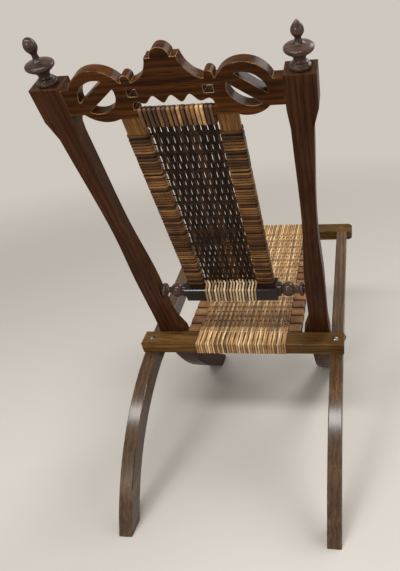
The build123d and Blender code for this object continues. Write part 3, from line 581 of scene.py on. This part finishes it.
# %% [markdown]
# ## Measure the pieces that carry cane
# Seat and back both lean, so a box along X, Y and Z doesn't say where their faces are. Their
# angles could be typed in here, but then they would be wrong as soon as the model leans
# otherwise. This helper finds a node's largest flat face that looks a given way, and measures
# the node along the three directions of that face: across the chair, along the piece, and out
# of the face.

# %% Measure along a leaning face
FACING = 0.5  # the least share of the given way in a face's normal


class Slab:
    """A node measured along its own face: x across the chair, s along the piece, h out of the face."""

    def __init__(self, node_name, towards):
        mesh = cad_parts[node_name].data
        normals = np.array([polygon.normal for polygon in mesh.polygons])
        areas = np.array([polygon.area for polygon in mesh.polygons])
        facing = normals @ np.array(towards) > FACING
        which = np.unique(np.round(normals[facing], 2), axis=0, return_inverse=True)[1].ravel()
        totals = np.bincount(which, weights=areas[facing])
        best = which == totals.argmax()
        out = (normals[facing][best] * areas[facing][best][:, None]).sum(0)
        out[0] = 0
        out /= np.linalg.norm(out)
        self.axes = np.array([(1, 0, 0), np.cross(out, (1, 0, 0)), out])
        self.low, self.high = self.measure(node_name)

    def measure(self, node_name):
        """The lowest and highest x, s and h of a node, along this slab's directions."""
        points = np.array([vertex.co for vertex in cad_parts[node_name].data.vertices]) @ self.axes.T
        return points.min(0), points.max(0)

    def place(self, x, s, h):
        """The points at these measures, in metres in the chair's own frame."""
        x, s, h = np.broadcast_arrays(x, s, h)
        return np.stack([x, s, h], -1) @ self.axes


UP = (0, 0, 1)
BEHIND = (0, -1, 0)
seat = Slab("seat_cane", UP)
rear_rail = Slab("rear_seat_rail", UP)
front_rail = Slab("front_seat_rail", UP)
back = Slab("back_cane", BEHIND)
crest_bar = Slab("crest_wrap", BEHIND)
block = Slab("lower_rail_wrap", BEHIND)
for name, slab in (("seat", seat), ("back", back)):
    print(name, "cane, mm:", np.round((slab.high - slab.low) / MM, 1))

# %% [markdown]
# ## One strand of cane
# Every woven or wound piece is made of the same thing, a flat strand with a rounded upper side.
# A Blender curve with a bevel would give one too, but it twists where a path turns sharply. Here
# the strand is swept along a path by sums: at each point of the path the same small outline is
# set square to the way the strand runs, with its flat side on the wood. A Strands object
# collects them and makes one mesh, which rides on a body of the chair and stands in for the
# plain CAD pieces in its place.

# %% Stand in for CAD pieces


def stand_in(mesh, finish, body, slot, *nodes):
    """Makes a piece of a mesh, lets it ride on its body, and shows it in place of the CAD nodes."""
    mesh.shade_smooth()
    mesh.materials.append(finish)
    piece = bpy.data.objects.new(mesh.name, mesh)
    bpy.context.scene.collection.objects.link(piece)
    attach(piece, body)
    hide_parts(*nodes)
    print(piece.name, "faces", len(mesh.polygons))


# %% Sweep a strand
# a strand's outline, in halves of its width and in its thickness, with the flat side below
OUTLINE = np.array(
    [(-1, 0.3), (-0.74, 0.8), (-0.3, 1.0), (0.3, 1.0), (0.74, 0.8), (1, 0.3), (0.62, 0.0), (-0.62, 0.0)]
)
CORNERS = len(OUTLINE)
FIBRE_REPEAT = 26 * MM
END_UV = (0.6, 0)


def unit(vectors):
    return vectors / np.linalg.norm(vectors, axis=1)[:, None]


class Strands:
    """Collects strands and makes one mesh of them."""

    def __init__(self):
        self.points, self.faces, self.uvs = [], [], []

    def sweep(self, path, out, width, thickness):
        """Adds one strand. path is the middle of its underside, out points away from what it lies on."""
        side = unit(np.cross(unit(np.gradient(path, axis=0)), out))
        width, thickness = (np.broadcast_to(size, len(path))[:, None, None] for size in (width, thickness))
        rings = (
            path[:, None]
            + side[:, None] * OUTLINE[None, :, :1] * width / 2
            + out[:, None] * OUTLINE[None, :, 1:] * thickness
        )
        first = sum(len(points) for points in self.points)
        steps = np.linalg.norm(np.diff(path, axis=0), axis=1)
        length = np.concatenate([[0], np.cumsum(steps)]) / FIBRE_REPEAT
        for i in range(len(path) - 1):
            for j in range(CORNERS):
                k = (j + 1) % CORNERS
                a, b = first + i * CORNERS, first + (i + 1) * CORNERS
                self.faces.append((a + j, a + k, b + k, b + j))
                u, u_next = j / CORNERS, (j + 1) / CORNERS
                v, v_next = length[i], length[i + 1]
                self.uvs.append([(u, v), (u_next, v), (u_next, v_next), (u, v_next)])
        for ring, order in ((0, reversed(range(CORNERS))), (len(path) - 1, range(CORNERS))):
            self.faces.append(tuple(first + ring * CORNERS + j for j in order))
            self.uvs.append([END_UV] * CORNERS)
        self.points.append(rings.reshape(-1, 3))

    def build(self, name, finish, body, slot, *nodes):
        """Makes one mesh of the strands, to stand in for the CAD nodes."""
        mesh = bpy.data.meshes.new(name)
        mesh.from_pydata(np.concatenate(self.points).tolist(), [], self.faces)
        layer = mesh.uv_layers.new(name="strand")
        layer.data.foreach_set("uv", np.array([c for face in self.uvs for c in face], np.float32).ravel())
        print(name, "strands", len(self.points))
        stand_in(mesh, finish, body, slot, *nodes)


print("a strand has", CORNERS, "corners")

# %% [markdown]
# ## Paths with rounded corners
# A strand that goes round a rail runs straight over each face and turns a small corner between
# them. A smooth spline through the corners would lift off the faces, so the path is made of
# straight runs and small bends. This helper takes the corners of such a path, in two measures,
# and gives back closely spaced points and the direction away from the wood.

# %% Round the corners
BEND_POINTS = 6


def rounded_path(corners, radius, step):
    """Points and outward directions along a clockwise path, with its corners rounded."""
    corners = [np.array(c, float) for c in corners]
    places = [corners[0]]
    for before, here, after in zip(corners, corners[1:], corners[2:]):
        inwards = (before - here) / np.linalg.norm(before - here)
        onwards = (after - here) / np.linalg.norm(after - here)
        start, end = here + inwards * radius, here + onwards * radius
        for t in np.linspace(0, 1, BEND_POINTS):
            places.append((1 - t) ** 2 * start + 2 * t * (1 - t) * here + t**2 * end)
    places.append(corners[-1])
    dense = [places[0]]
    for a, b in zip(places, places[1:]):
        pieces = max(1, int(np.ceil(np.linalg.norm(b - a) / step)))
        dense += [a + (b - a) * k / pieces for k in range(1, pieces + 1)]
    dense = np.array(dense)
    along = unit(np.gradient(dense, axis=0))
    return dense, np.stack([-along[:, 1], along[:, 0]], -1)


print("corner test:", len(rounded_path([(0, 0), (0, 0.03), (0.03, 0.03)], 2 * MM, 2 * MM)[0]), "points")

# %% [markdown]
# ## The woven seat
# The long strands start inside the rear rail, go under and round it, run forward to the front
# rail and round that too. Short strands cross them from slat to slat, over one and under the
# next, three close together and then one alone. A picture of a weave on a flat sheet would be
# quicker, but it would have no gaps and no thickness at the edge. So each strand is a real one,
# and rides up and down as a smooth wave. The crossing ones ride the other way, so that they
# pass each other without touching.

# %% Place the strands of the seat
SEAT_PITCH = 5.34 * MM
SEAT_MARGIN = 1.6 * MM  # how far the weave reaches past the plain sheet, onto the slats
WEAVE_DEPTH = 1.6 * MM  # from the sheet's top to the middle of the weave
REAR_CLEAR, FRONT_CLEAR = 2 * MM, 3 * MM
GROUP_LENGTH = 34 * MM
BAND = (-3.0 * MM, 0.0, 3.0 * MM)
FIRST_BAND_SHIFT = 2 * MM

seat_middle_h = seat.high[2] - WEAVE_DEPTH
span_start = rear_rail.high[1] + REAR_CLEAR
span_end = front_rail.low[1] - FRONT_CLEAR
warp_count = int(round((seat.high[0] - seat.low[0]) / SEAT_PITCH))
warp_step = (seat.high[0] - seat.low[0] + 2 * SEAT_MARGIN) / warp_count
warp_x = seat.low[0] - SEAT_MARGIN + (np.arange(warp_count) + 0.5) * warp_step


def crossing_places(first_band, start, end):
    """Where the crossing strands lie: a band of three, then a single one half way to the next band."""
    bands = np.arange(first_band - 10 * GROUP_LENGTH, first_band + 24 * GROUP_LENGTH, GROUP_LENGTH)
    singles = [band + GROUP_LENGTH / 2 for band in bands]
    places = sorted([band + shift for band in bands for shift in BAND] + singles)
    return np.array([s for s in places if start < s < end])


first_seat_band = span_start + GROUP_LENGTH / 2 + FIRST_BAND_SHIFT
weft_s = crossing_places(first_seat_band, span_start, span_end)
print("seat:", warp_count, "long strands,", len(weft_s), "crossing ones")

# %% Lead a strand round both rails
CANE_LIFT = 0.15 * MM
TURN_RADIUS = 2.2 * MM
END_TUCK = 7 * MM
PATH_STEP = 2.4 * MM
TOP_FLATNESS = 1 * MM
EASE_LENGTH = 8 * MM

under, over = rear_rail.low[2] - CANE_LIFT, rear_rail.high[2] + CANE_LIFT
rear_near, rear_far = rear_rail.high[1] + CANE_LIFT, rear_rail.low[1] - CANE_LIFT
front_near, front_far = front_rail.low[1] - CANE_LIFT, front_rail.high[1] + CANE_LIFT
seat_path, seat_out = rounded_path(
    [
        (rear_near, over - END_TUCK),
        (rear_near, under),
        (rear_far, under),
        (rear_far, over),
        (front_far, over),
        (front_far, under),
        (front_near, under),
        (front_near, over - END_TUCK),
    ],
    TURN_RADIUS,
    PATH_STEP,
)
path_s, path_h = seat_path.T
on_top = path_h > over - TOP_FLATNESS
from_rails = np.minimum(path_s - rear_rail.high[1], front_rail.low[1] - path_s)
ease = np.clip(from_rails / EASE_LENGTH, 0, 1)
ease = np.where(on_top & (from_rails > 0), ease * ease * (3 - 2 * ease), 0)
print("a long strand runs", round(float(np.linalg.norm(np.diff(seat_path, axis=0), axis=1).sum()), 3), "m")

# %% Let a strand ride up and down


def smoothed(values, weights):
    """Each value averaged with its neighbours, by weights."""
    return np.convolve(np.pad(values, len(weights) // 2, mode="edge"), weights, mode="valid")


def over_and_under(places, crossings, start, end, sign, rise):
    """A strand's height at each place: over one crossing, under the next, level at its two ends."""
    turns = sign * np.where(np.arange(len(crossings)) % 2, 1, -1)
    height = np.interp(places, [start, *crossings, end], [0, *turns, 0]) * rise
    return smoothed(height, (0.25, 0.5, 0.25))


def leaning(places, first_band):
    """How a strand leans between the crossings, from -1 to 1: one way before a band and back after it."""
    return np.sin((places - first_band) / GROUP_LENGTH * 2 * np.pi)


print("wave test:", np.round(over_and_under(np.arange(5.0), [1, 3], 0, 4, 1, 1), 2))

# %% Weave the long strands of the seat
SEAT_WIDTH = 5.95 * MM
CANE_THICK = 1.2 * MM
WAVE = 0.75 * MM
SEAT_SWAY = 0.3 * MM
RAIL_RISE = 0.3 * MM  # every second strand lies this much higher on the rails
RAIL_SQUEEZE = 0.17  # and all are this share narrower there
PAIR_PULL = 0.75 * MM  # strands lean together in pairs behind the weave
PULL_START, PULL_END = 14 * MM, 12 * MM
SEAT_DRIFT = 0.3 * MM
rng = np.random.default_rng(7)

top_run = on_top & (path_s < span_end)
seat_warps = Strands()
for i, x in enumerate(warp_x):
    sign = 1 if i % 2 else -1
    wave = over_and_under(path_s, weft_s, span_start, span_end, sign, WAVE)
    on_rails = (RAIL_RISE if i % 2 else 0.0) + rng.uniform(0, 0.15) * MM
    lift = ease * (seat_middle_h - over - CANE_THICK / 2 + wave) + (1 - ease) * on_rails
    pull = sign * PAIR_PULL * np.clip((span_start - path_s) / PULL_START, 0, 1)
    pull = pull * np.clip((path_s - rear_rail.low[1]) / PULL_END, 0, 1)
    sway = np.where(path_s > span_start, sign * SEAT_SWAY * leaning(path_s, first_seat_band), 0)
    sway = smoothed(np.where(top_run, sway - pull, 0), (0.1, 0.2, 0.4, 0.2, 0.1))
    drift = SEAT_DRIFT * np.sin(path_s * rng.uniform(28, 46) + rng.uniform(0, 6))
    seat_warps.sweep(
        seat.place(x + sway + drift, path_s + seat_out[:, 0] * lift, path_h + seat_out[:, 1] * lift),
        seat.place(0, seat_out[:, 0], seat_out[:, 1]),
        SEAT_WIDTH * rng.uniform(0.95, 1.03) * (1 - RAIL_SQUEEZE * (1 - ease)),
        CANE_THICK,
    )
seat_warps.build("woven_seat_strands", straw_cane, "seat_frame", "seat_cane", "seat_cane")

# %% Weave the crossing strands of the seat
WEFT_WIDTH = 3.0 * MM
WEFT_THICK = 1.1 * MM


def crossing_wave(places, warps, number, rise):
    """A crossing strand's height, under and over the long ones by turns; number says which first."""
    return np.cos(np.pi * ((places - warps[0]) / (warps[1] - warps[0]) + number)) * -rise


seat_wefts = Strands()
weft_x = np.linspace(seat.low[0] - SEAT_MARGIN, seat.high[0] + SEAT_MARGIN, 4 * warp_count + 1)
for j, s in enumerate(weft_s):
    wave = crossing_wave(weft_x, warp_x, j, WAVE)
    drift = rng.normal(0, 0.2) * MM + SEAT_DRIFT * np.sin(weft_x * 22 + rng.uniform(0, 6))
    path = seat.place(weft_x, s + drift, seat_middle_h - CANE_THICK / 2 + wave)
    out = seat.place(np.zeros(len(weft_x)), 0, 1)
    seat_wefts.sweep(path, out, WEFT_WIDTH * rng.uniform(0.85, 1.1), WEFT_THICK)
seat_wefts.build("woven_seat_crossings", brown_cane, "seat_frame", "seat_cane", "seat_cane")

# %% [markdown]
# ## Cane wound round a bar
# The slats and the crest's bar are wound with cane. An Array modifier along a bar would make
# every turn the same. Here each turn is a strand of its own, which goes once round the bar and
# moves on by about its own width on the side that isn't seen. The turns differ a little in
# width and height, and some lie closer than others, as handwork does.

# %% Wind a bar
LATE_SHARE = 0.2


def late(count):
    """How far each of count points along a path is into its last part: 0 before it, 1 at the end."""
    return np.clip((np.linspace(0, 1, count) - (1 - LATE_SHARE)) / LATE_SHARE, 0, 1)


def wind(strands, slab, core, axis, stops, pitch, thickness, fill, radius=TURN_RADIUS, advance=0.85):
    """Winds turns of cane round a bar that runs along x (axis 0) or s (axis 1).

    core is its wood, low and high. A turn is as wide as fill says, in shares of the pitch, and
    moves on by advance, another share, in its last part, on the side that isn't seen.
    """
    (p0, q0), (p1, q1) = (corner[[1 - axis, 2]] for corner in core)
    middle = (p0 + p1) / 2

    def placed(along, flat):
        x, s = (along, flat[:, 0]) if axis == 0 else (flat[:, 0], along)
        return slab.place(x, s, flat[:, 1])

    for start in stops:
        lift = CANE_LIFT + rng.uniform(0, 0.22) * MM
        corners = [
            (middle, q0 - lift),
            (p0 - lift, q0 - lift),
            (p0 - lift, q1 + lift),
            (p1 + lift, q1 + lift),
            (p1 + lift, q0 - lift),
            (middle, q0 - lift),
        ]
        flat, out = rounded_path(corners, radius, step=2.5 * MM)
        on = start + pitch * advance * late(len(flat))
        on = on + rng.normal(0, 0.04) * min(pitch, 5 * MM) + rng.normal(0, 0.008) * (flat[:, 0] - middle)
        width = pitch * rng.uniform(*fill)
        strands.sweep(placed(on, flat), placed(0, out), width, thickness * rng.uniform(0.85, 1.1))


SKIN = 2.2 * MM


def inner_core(slab, axis):
    """The wood inside a CAD sleeve: the sleeve's own extent, less its skin, but not along the bar."""
    low, high = slab.low + SKIN, slab.high - SKIN
    low[axis], high[axis] = slab.low[axis], slab.high[axis]
    return low, high


bar_core = inner_core(crest_bar, 0)
print("wood in the crest's winding, mm:", np.round((bar_core[1] - bar_core[0]) / MM, 1))

# %% [markdown]
# ## The back slats
# Six golden turns and then one thin dark tie, over and over: the tie is where a crossing strand
# of the woven back goes round the slat. Both could share one mesh, but they are two canes with
# two finishes, so each slat gets a winding and a set of ties.

# %% Wind the back slats
TURNS_PER_GROUP = 6
TIE_WIDTH = 2.6 * MM
SLAT_PITCH = (GROUP_LENGTH - TIE_WIDTH) / TURNS_PER_GROUP
SLAT_CORNER = 4.6 * MM
WOUND_THICK = 1.7 * MM
TIE_THICK = 0.4 * WOUND_THICK
TOP_BAND_DROP = 17 * MM
TIE_DROP = 2 * MM
top_band = back.high[1] - TOP_BAND_DROP

for side in ("left", "right"):
    sleeve = f"{side}_back_slat_wrap"
    slab = Slab(sleeve, BEHIND)
    wood = inner_core(slab, 1)
    tie_places = top_band - TIE_DROP - np.arange(-1, 12) * GROUP_LENGTH
    steps = TIE_WIDTH / 2 + (np.arange(TURNS_PER_GROUP) + 0.5) * SLAT_PITCH
    turn_places = (tie_places[:, None] - steps).ravel()
    first, last = slab.low[1] + SLAT_PITCH / 2, slab.high[1] - SLAT_PITCH / 2
    turn_places, tie_places = (p[(p > first) & (p < last)] for p in (turn_places, tie_places))
    turns = Strands()
    wind(turns, slab, wood, 1, turn_places, SLAT_PITCH, WOUND_THICK, (0.84, 1.0), SLAT_CORNER)
    turns.build(f"{side}_back_slat_winding", golden_cane, "back_frame", "back_cane", sleeve)
    ties = Strands()
    wind(ties, slab, wood, 1, tie_places, TIE_WIDTH, TIE_THICK, (1.2, 1.3), SLAT_CORNER, advance=0)
    ties.build(f"{side}_back_slat_ties", dark_cane, "back_frame", "back_cane", sleeve)

# %% [markdown]
# ## The seat slats and the crest's bar
# The seat slats are wound with wide flat splints of orange cane, which close up edge to edge.
# The bar under the crest has narrow bright turns, and the back's upright strands hang from it.
# Both are made by the same winding, with another pitch.

# %% Wind the seat slats
SEAT_SLAT_PITCH = 29 * MM
SPLINT_THICK = 1.9 * MM


def spaced(slab, axis, pitch):
    """Places along a slab for turns of about this pitch, spread evenly over it."""
    count = int((slab.high[axis] - slab.low[axis]) / pitch)
    return slab.low[axis] + (np.arange(count) + 0.5) * (slab.high[axis] - slab.low[axis]) / count


for side in ("left", "right"):
    slab = Slab(f"{side}_seat_slat_wrap", UP)
    wood = inner_core(slab, 1)
    stops = spaced(slab, 1, SEAT_SLAT_PITCH)
    turns = Strands()
    wind(turns, slab, wood, 1, stops, SEAT_SLAT_PITCH, SPLINT_THICK, (0.96, 0.995), advance=0)
    turns.build(f"{side}_seat_slat_winding", orange_cane, "seat_frame", "seat_cane", f"{side}_seat_slat_wrap")

# %% Wind the crest's bar
BAR_PITCH = 6.9 * MM
BAR_THICK = 1.9 * MM
BAR_CORNER = 3.6 * MM

turns = Strands()
stops = spaced(crest_bar, 0, BAR_PITCH)
wind(turns, crest_bar, bar_core, 0, stops, BAR_PITCH, BAR_THICK, (0.8, 1.0), BAR_CORNER)
turns.build("crest_bar_winding", bright_cane, "back_frame", "back_cane", "crest_wrap")

# %% [markdown]
# ## The lapped ends on the lower rail
# The upright strands of the back end at the lower rail. Each one goes down the front of the
# rail, under it and up its rear face, and its end is brought over the top and tucked flat
# against the weave, so a row of pale ends stands up behind the rail. The plain winding can't
# say that, so each lap has a path of its own. Two of them are knotted: a knot is two small
# rings of cane, tilted against each other.

# %% Plan a lap
LAP_RISE = 12 * MM
LAP_SINK = 0.5 * MM
KNOT_RISE = 5 * MM
KNOT_STAND_OFF = 4.5 * MM
KNOT_RINGS = ((0.5, 3.4 * MM), (-0.6, 3.0 * MM))  # tilt and radius
KNOT_FLATNESS = 0.8
KNOT_WIDTH, KNOT_THICK = 3 * MM, 1.5 * MM

rail_low, rail_high = inner_core(block, 0)
weave_h = (back.place(0, back.low[1] + LAP_RISE, back.high[2]) @ block.axes.T)[2] - LAP_SINK


def lap_path(lift, rise):
    """From the weave down and round the rail, and back up to lie flat against the weave."""
    p0, p1 = rail_low[1] - lift, rail_high[1] + lift
    q0, q1 = rail_low[2] - lift, rail_high[2] + lift
    return rounded_path(
        [
            (p1, weave_h - 3 * MM),
            (p1, q0),
            (p0, q0),
            (p0, q1),
            (p1, q1),
            (p1 + 1.2 * MM, weave_h + 7 * MM),
            (p1 + 7 * MM, weave_h + 0.3 * MM),
            (p1 + rise, weave_h),
        ],
        TURN_RADIUS,
        step=2 * MM,
    )


def tie_knot(strands, x, s):
    """Two rings of cane round the strand at x, just above s."""
    turn = np.linspace(0, 2 * np.pi, 15)
    middle = block.place(x, s + KNOT_RISE, weave_h + KNOT_STAND_OFF)
    for tilt, size in KNOT_RINGS:
        ring = block.place(np.cos(turn), tilt * np.cos(turn), KNOT_FLATNESS * np.sin(turn))
        strands.sweep(middle + size * ring, unit(ring), KNOT_WIDTH, KNOT_THICK)


print("the weave lies", round((weave_h - rail_high[2]) / MM, 1), "mm out from the rail's rear face")

# %% Lap the ends round the lower rail
LAP_PITCH = 6.4 * MM
LAP_THICK = 2 * MM
LAP_SLANT = 0.10
LAP_FAN = 0.03
LAP_TAPER = 0.25
KNOTTED = (3, 11)

lap_places = spaced(block, 0, LAP_PITCH)
rail_middle_s, rail_middle_h = (rail_low[1] + rail_high[1]) / 2, (rail_low[2] + rail_high[2]) / 2
laps = Strands()
for number, x in enumerate(lap_places):
    lift = CANE_LIFT + rng.uniform(0, 0.3) * MM
    flat, out = lap_path(lift, LAP_RISE + rng.uniform(-2.5, 1.5) * MM)
    climb = late(len(flat))
    on = x + np.where(flat[:, 1] > rail_middle_h, LAP_SLANT * (flat[:, 0] - rail_middle_s), 0)
    on = on + climb * ((x - lap_places.mean()) * LAP_FAN + rng.normal(0, 0.5) * MM)
    path = block.place(on, flat[:, 0], flat[:, 1])
    outward = block.place(0, out[:, 0], out[:, 1])
    laps.sweep(path, outward, LAP_PITCH * rng.uniform(0.74, 0.86) * (1 - LAP_TAPER * climb), LAP_THICK)
    if number in KNOTTED:
        tie_knot(laps, on[-4], rail_high[1] + lift)
laps.build("lower_rail_winding", pale_cane, "back_frame", "seat_cane", "lower_rail_wrap")

# %% [markdown]
# ## The woven back
# The upright strands lean to one side and back again between the crossings, each one against
# its neighbour, so short slits open in two staggered rows. A band of three close crossings
# closes the slits, then one single crossing lies between two open rows, and so on downwards.
# Slits cut into a sheet would look punched. Leaning strands open them as the real ones do, so
# their ends come out pointed.

# %% Weave the upright strands of the back
BACK_WARPS = 20
BACK_WARP_PITCH = 5.22 * MM
BACK_WARP_WIDTH = 5.45 * MM
BACK_SHIFT = 1.5 * MM
BACK_SWAY = 0.5 * MM
BACK_THICK = 1.2 * MM
BACK_WAVE = 0.7 * MM
BACK_DRIFT = 0.2 * MM
END_GAP = 2 * MM

back_middle_h = (back.low[2] + back.high[2]) / 2
back_warp_x = BACK_SHIFT + (np.arange(BACK_WARPS) - (BACK_WARPS - 1) / 2) * BACK_WARP_PITCH
crossings = crossing_places(top_band, back.low[1] + END_GAP, back.high[1] - END_GAP)
warp_s = np.arange(back.low[1], back.high[1], 1.6 * MM)
back_warps = Strands()
for i, x in enumerate(back_warp_x):
    sign = 1 if i % 2 else -1
    h = over_and_under(warp_s, crossings, back.low[1], back.high[1], sign, BACK_WAVE)
    sway = sign * BACK_SWAY * leaning(warp_s, top_band)
    drift = BACK_DRIFT * np.sin(warp_s * rng.uniform(20, 40) + rng.uniform(0, 6))
    path = back.place(x + sway + drift, warp_s, back_middle_h - BACK_THICK / 2 + h)
    out = back.place(np.zeros(len(warp_s)), 0, 1)
    back_warps.sweep(path, out, BACK_WARP_WIDTH * rng.uniform(0.95, 1.03), BACK_THICK)
back_warps.build("woven_back_strands", dark_cane, "back_frame", "back_cane", "back_cane")

# %% Weave the crossing strands of the back
CROSSING_WIDTH = 2.9 * MM
CROSSING_THICK = 1.0 * MM
CROSSING_DRIFT = 0.35 * MM
CROSSING_REACH = 0.4 * MM

back_crossings = Strands()
crossing_x = np.linspace(back.low[0] - CROSSING_REACH, back.high[0] + CROSSING_REACH, 4 * BACK_WARPS + 1)
for j, s in enumerate(crossings):
    wave = crossing_wave(crossing_x, back_warp_x, j, BACK_WAVE)
    drift = CROSSING_DRIFT * np.sin(crossing_x * 30 + rng.uniform(0, 6))
    path = back.place(crossing_x, s + drift, back_middle_h - BACK_THICK / 2 + wave)
    out = back.place(np.zeros(len(crossing_x)), 0, 1)
    back_crossings.sweep(path, out, CROSSING_WIDTH * rng.uniform(0.88, 1.05), CROSSING_THICK)
back_crossings.build("woven_back_crossings", dark_cane, "back_frame", "back_cane", "back_cane")

# %% [markdown]
# ## The turned finials
# A finial is turned on a lathe, so one profile says all of its shape: a wide foot, a flat disc
# that sits low over it, a thin neck and a knob. A Screw modifier could spin the profile, but a
# few rings of points do the same and need nothing applied. No two knobs turned by hand are
# quite alike, so each finial has its own: a round egg on the left and a pointed one on the right.

# %% Draw the profiles
# each point is a radius and a height above the stile, in millimetres
FOOT_AND_DISC = [
    (12.5, -0.6), (14.4, 0.1), (15.4, 1.6), (15.5, 3.2), (15.0, 4.9), (13.4, 6.0), (12.2, 7.0),
    (11.6, 8.2), (9.6, 10.0), (8.6, 12.2), (9.4, 15.2), (12.4, 18.6), (17.0, 21.4), (20.2, 24.0),
    (21.0, 26.4), (20.2, 28.6), (17.2, 30.4), (12.8, 31.6), (8.6, 32.8), (6.0, 34.6), (4.8, 36.8),
]
ROUND_KNOB = [
    (4.4, 39.5), (4.7, 42.0), (6.0, 44.4), (8.0, 47.2), (9.2, 50.6),
    (9.2, 54.2), (8.0, 58.0), (5.6, 61.4), (2.6, 63.2), (0.3, 63.7),
]
POINTED_KNOB = [
    (4.5, 38.4), (4.9, 40.4), (6.6, 42.4), (8.5, 45.2), (9.0, 48.4),
    (8.3, 51.8), (6.6, 54.8), (4.2, 57.8), (2.0, 60.2), (0.3, 61.2),
]
PROFILE_STEPS = 5


def smooth_profile(points):
    """A smooth curve through the points."""
    p = np.array([points[0], *points, points[-1]], float)
    curve = []
    for a, b, c, d in zip(p, p[1:], p[2:], p[3:]):
        for t in np.arange(PROFILE_STEPS) / PROFILE_STEPS:
            square = (a - 2.5 * b + 2 * c - d / 2) * t**2
            cube = (1.5 * b - a / 2 - 1.5 * c + d / 2) * t**3
            curve.append(b + (c - a) * t / 2 + square + cube)
    return np.array(curve + [p[-1]])


print("profile points:", len(smooth_profile(FOOT_AND_DISC + ROUND_KNOB)))

# %% Turn the finials
TURNS = 56

for side, knob in (("left", ROUND_KNOB), ("right", POINTED_KNOB)):
    low, high = crest_bar.measure(f"{side}_finial")
    centre = (low + high) / 2
    top = crest_bar.measure(f"{side}_stile")[1][1]
    profile = smooth_profile(FOOT_AND_DISC + knob) * MM
    radius, height = profile[:, :1], profile[:, 1:]
    angles = np.arange(TURNS) / TURNS * 2 * np.pi
    across, out = centre[0] + radius * np.cos(angles), centre[2] + radius * np.sin(angles)
    rings = crest_bar.place(across, top + height, out)
    faces = [
        (i * TURNS + j, (i + 1) * TURNS + j, (i + 1) * TURNS + (j + 1) % TURNS, i * TURNS + (j + 1) % TURNS)
        for i in range(len(profile) - 1)
        for j in range(TURNS)
    ]
    faces.append(tuple(range(TURNS)))
    faces.append(tuple((len(profile) - 1) * TURNS + j for j in reversed(range(TURNS))))
    mesh = bpy.data.meshes.new(f"{side}_turned_finial")
    mesh.from_pydata(rings.reshape(-1, 3).tolist(), [], faces)
    stand_in(mesh, turned_walnut, "back_frame", "turned_walnut", f"{side}_finial")
    print("height above the stile, mm:", round(profile[-1, 1] / MM, 1))
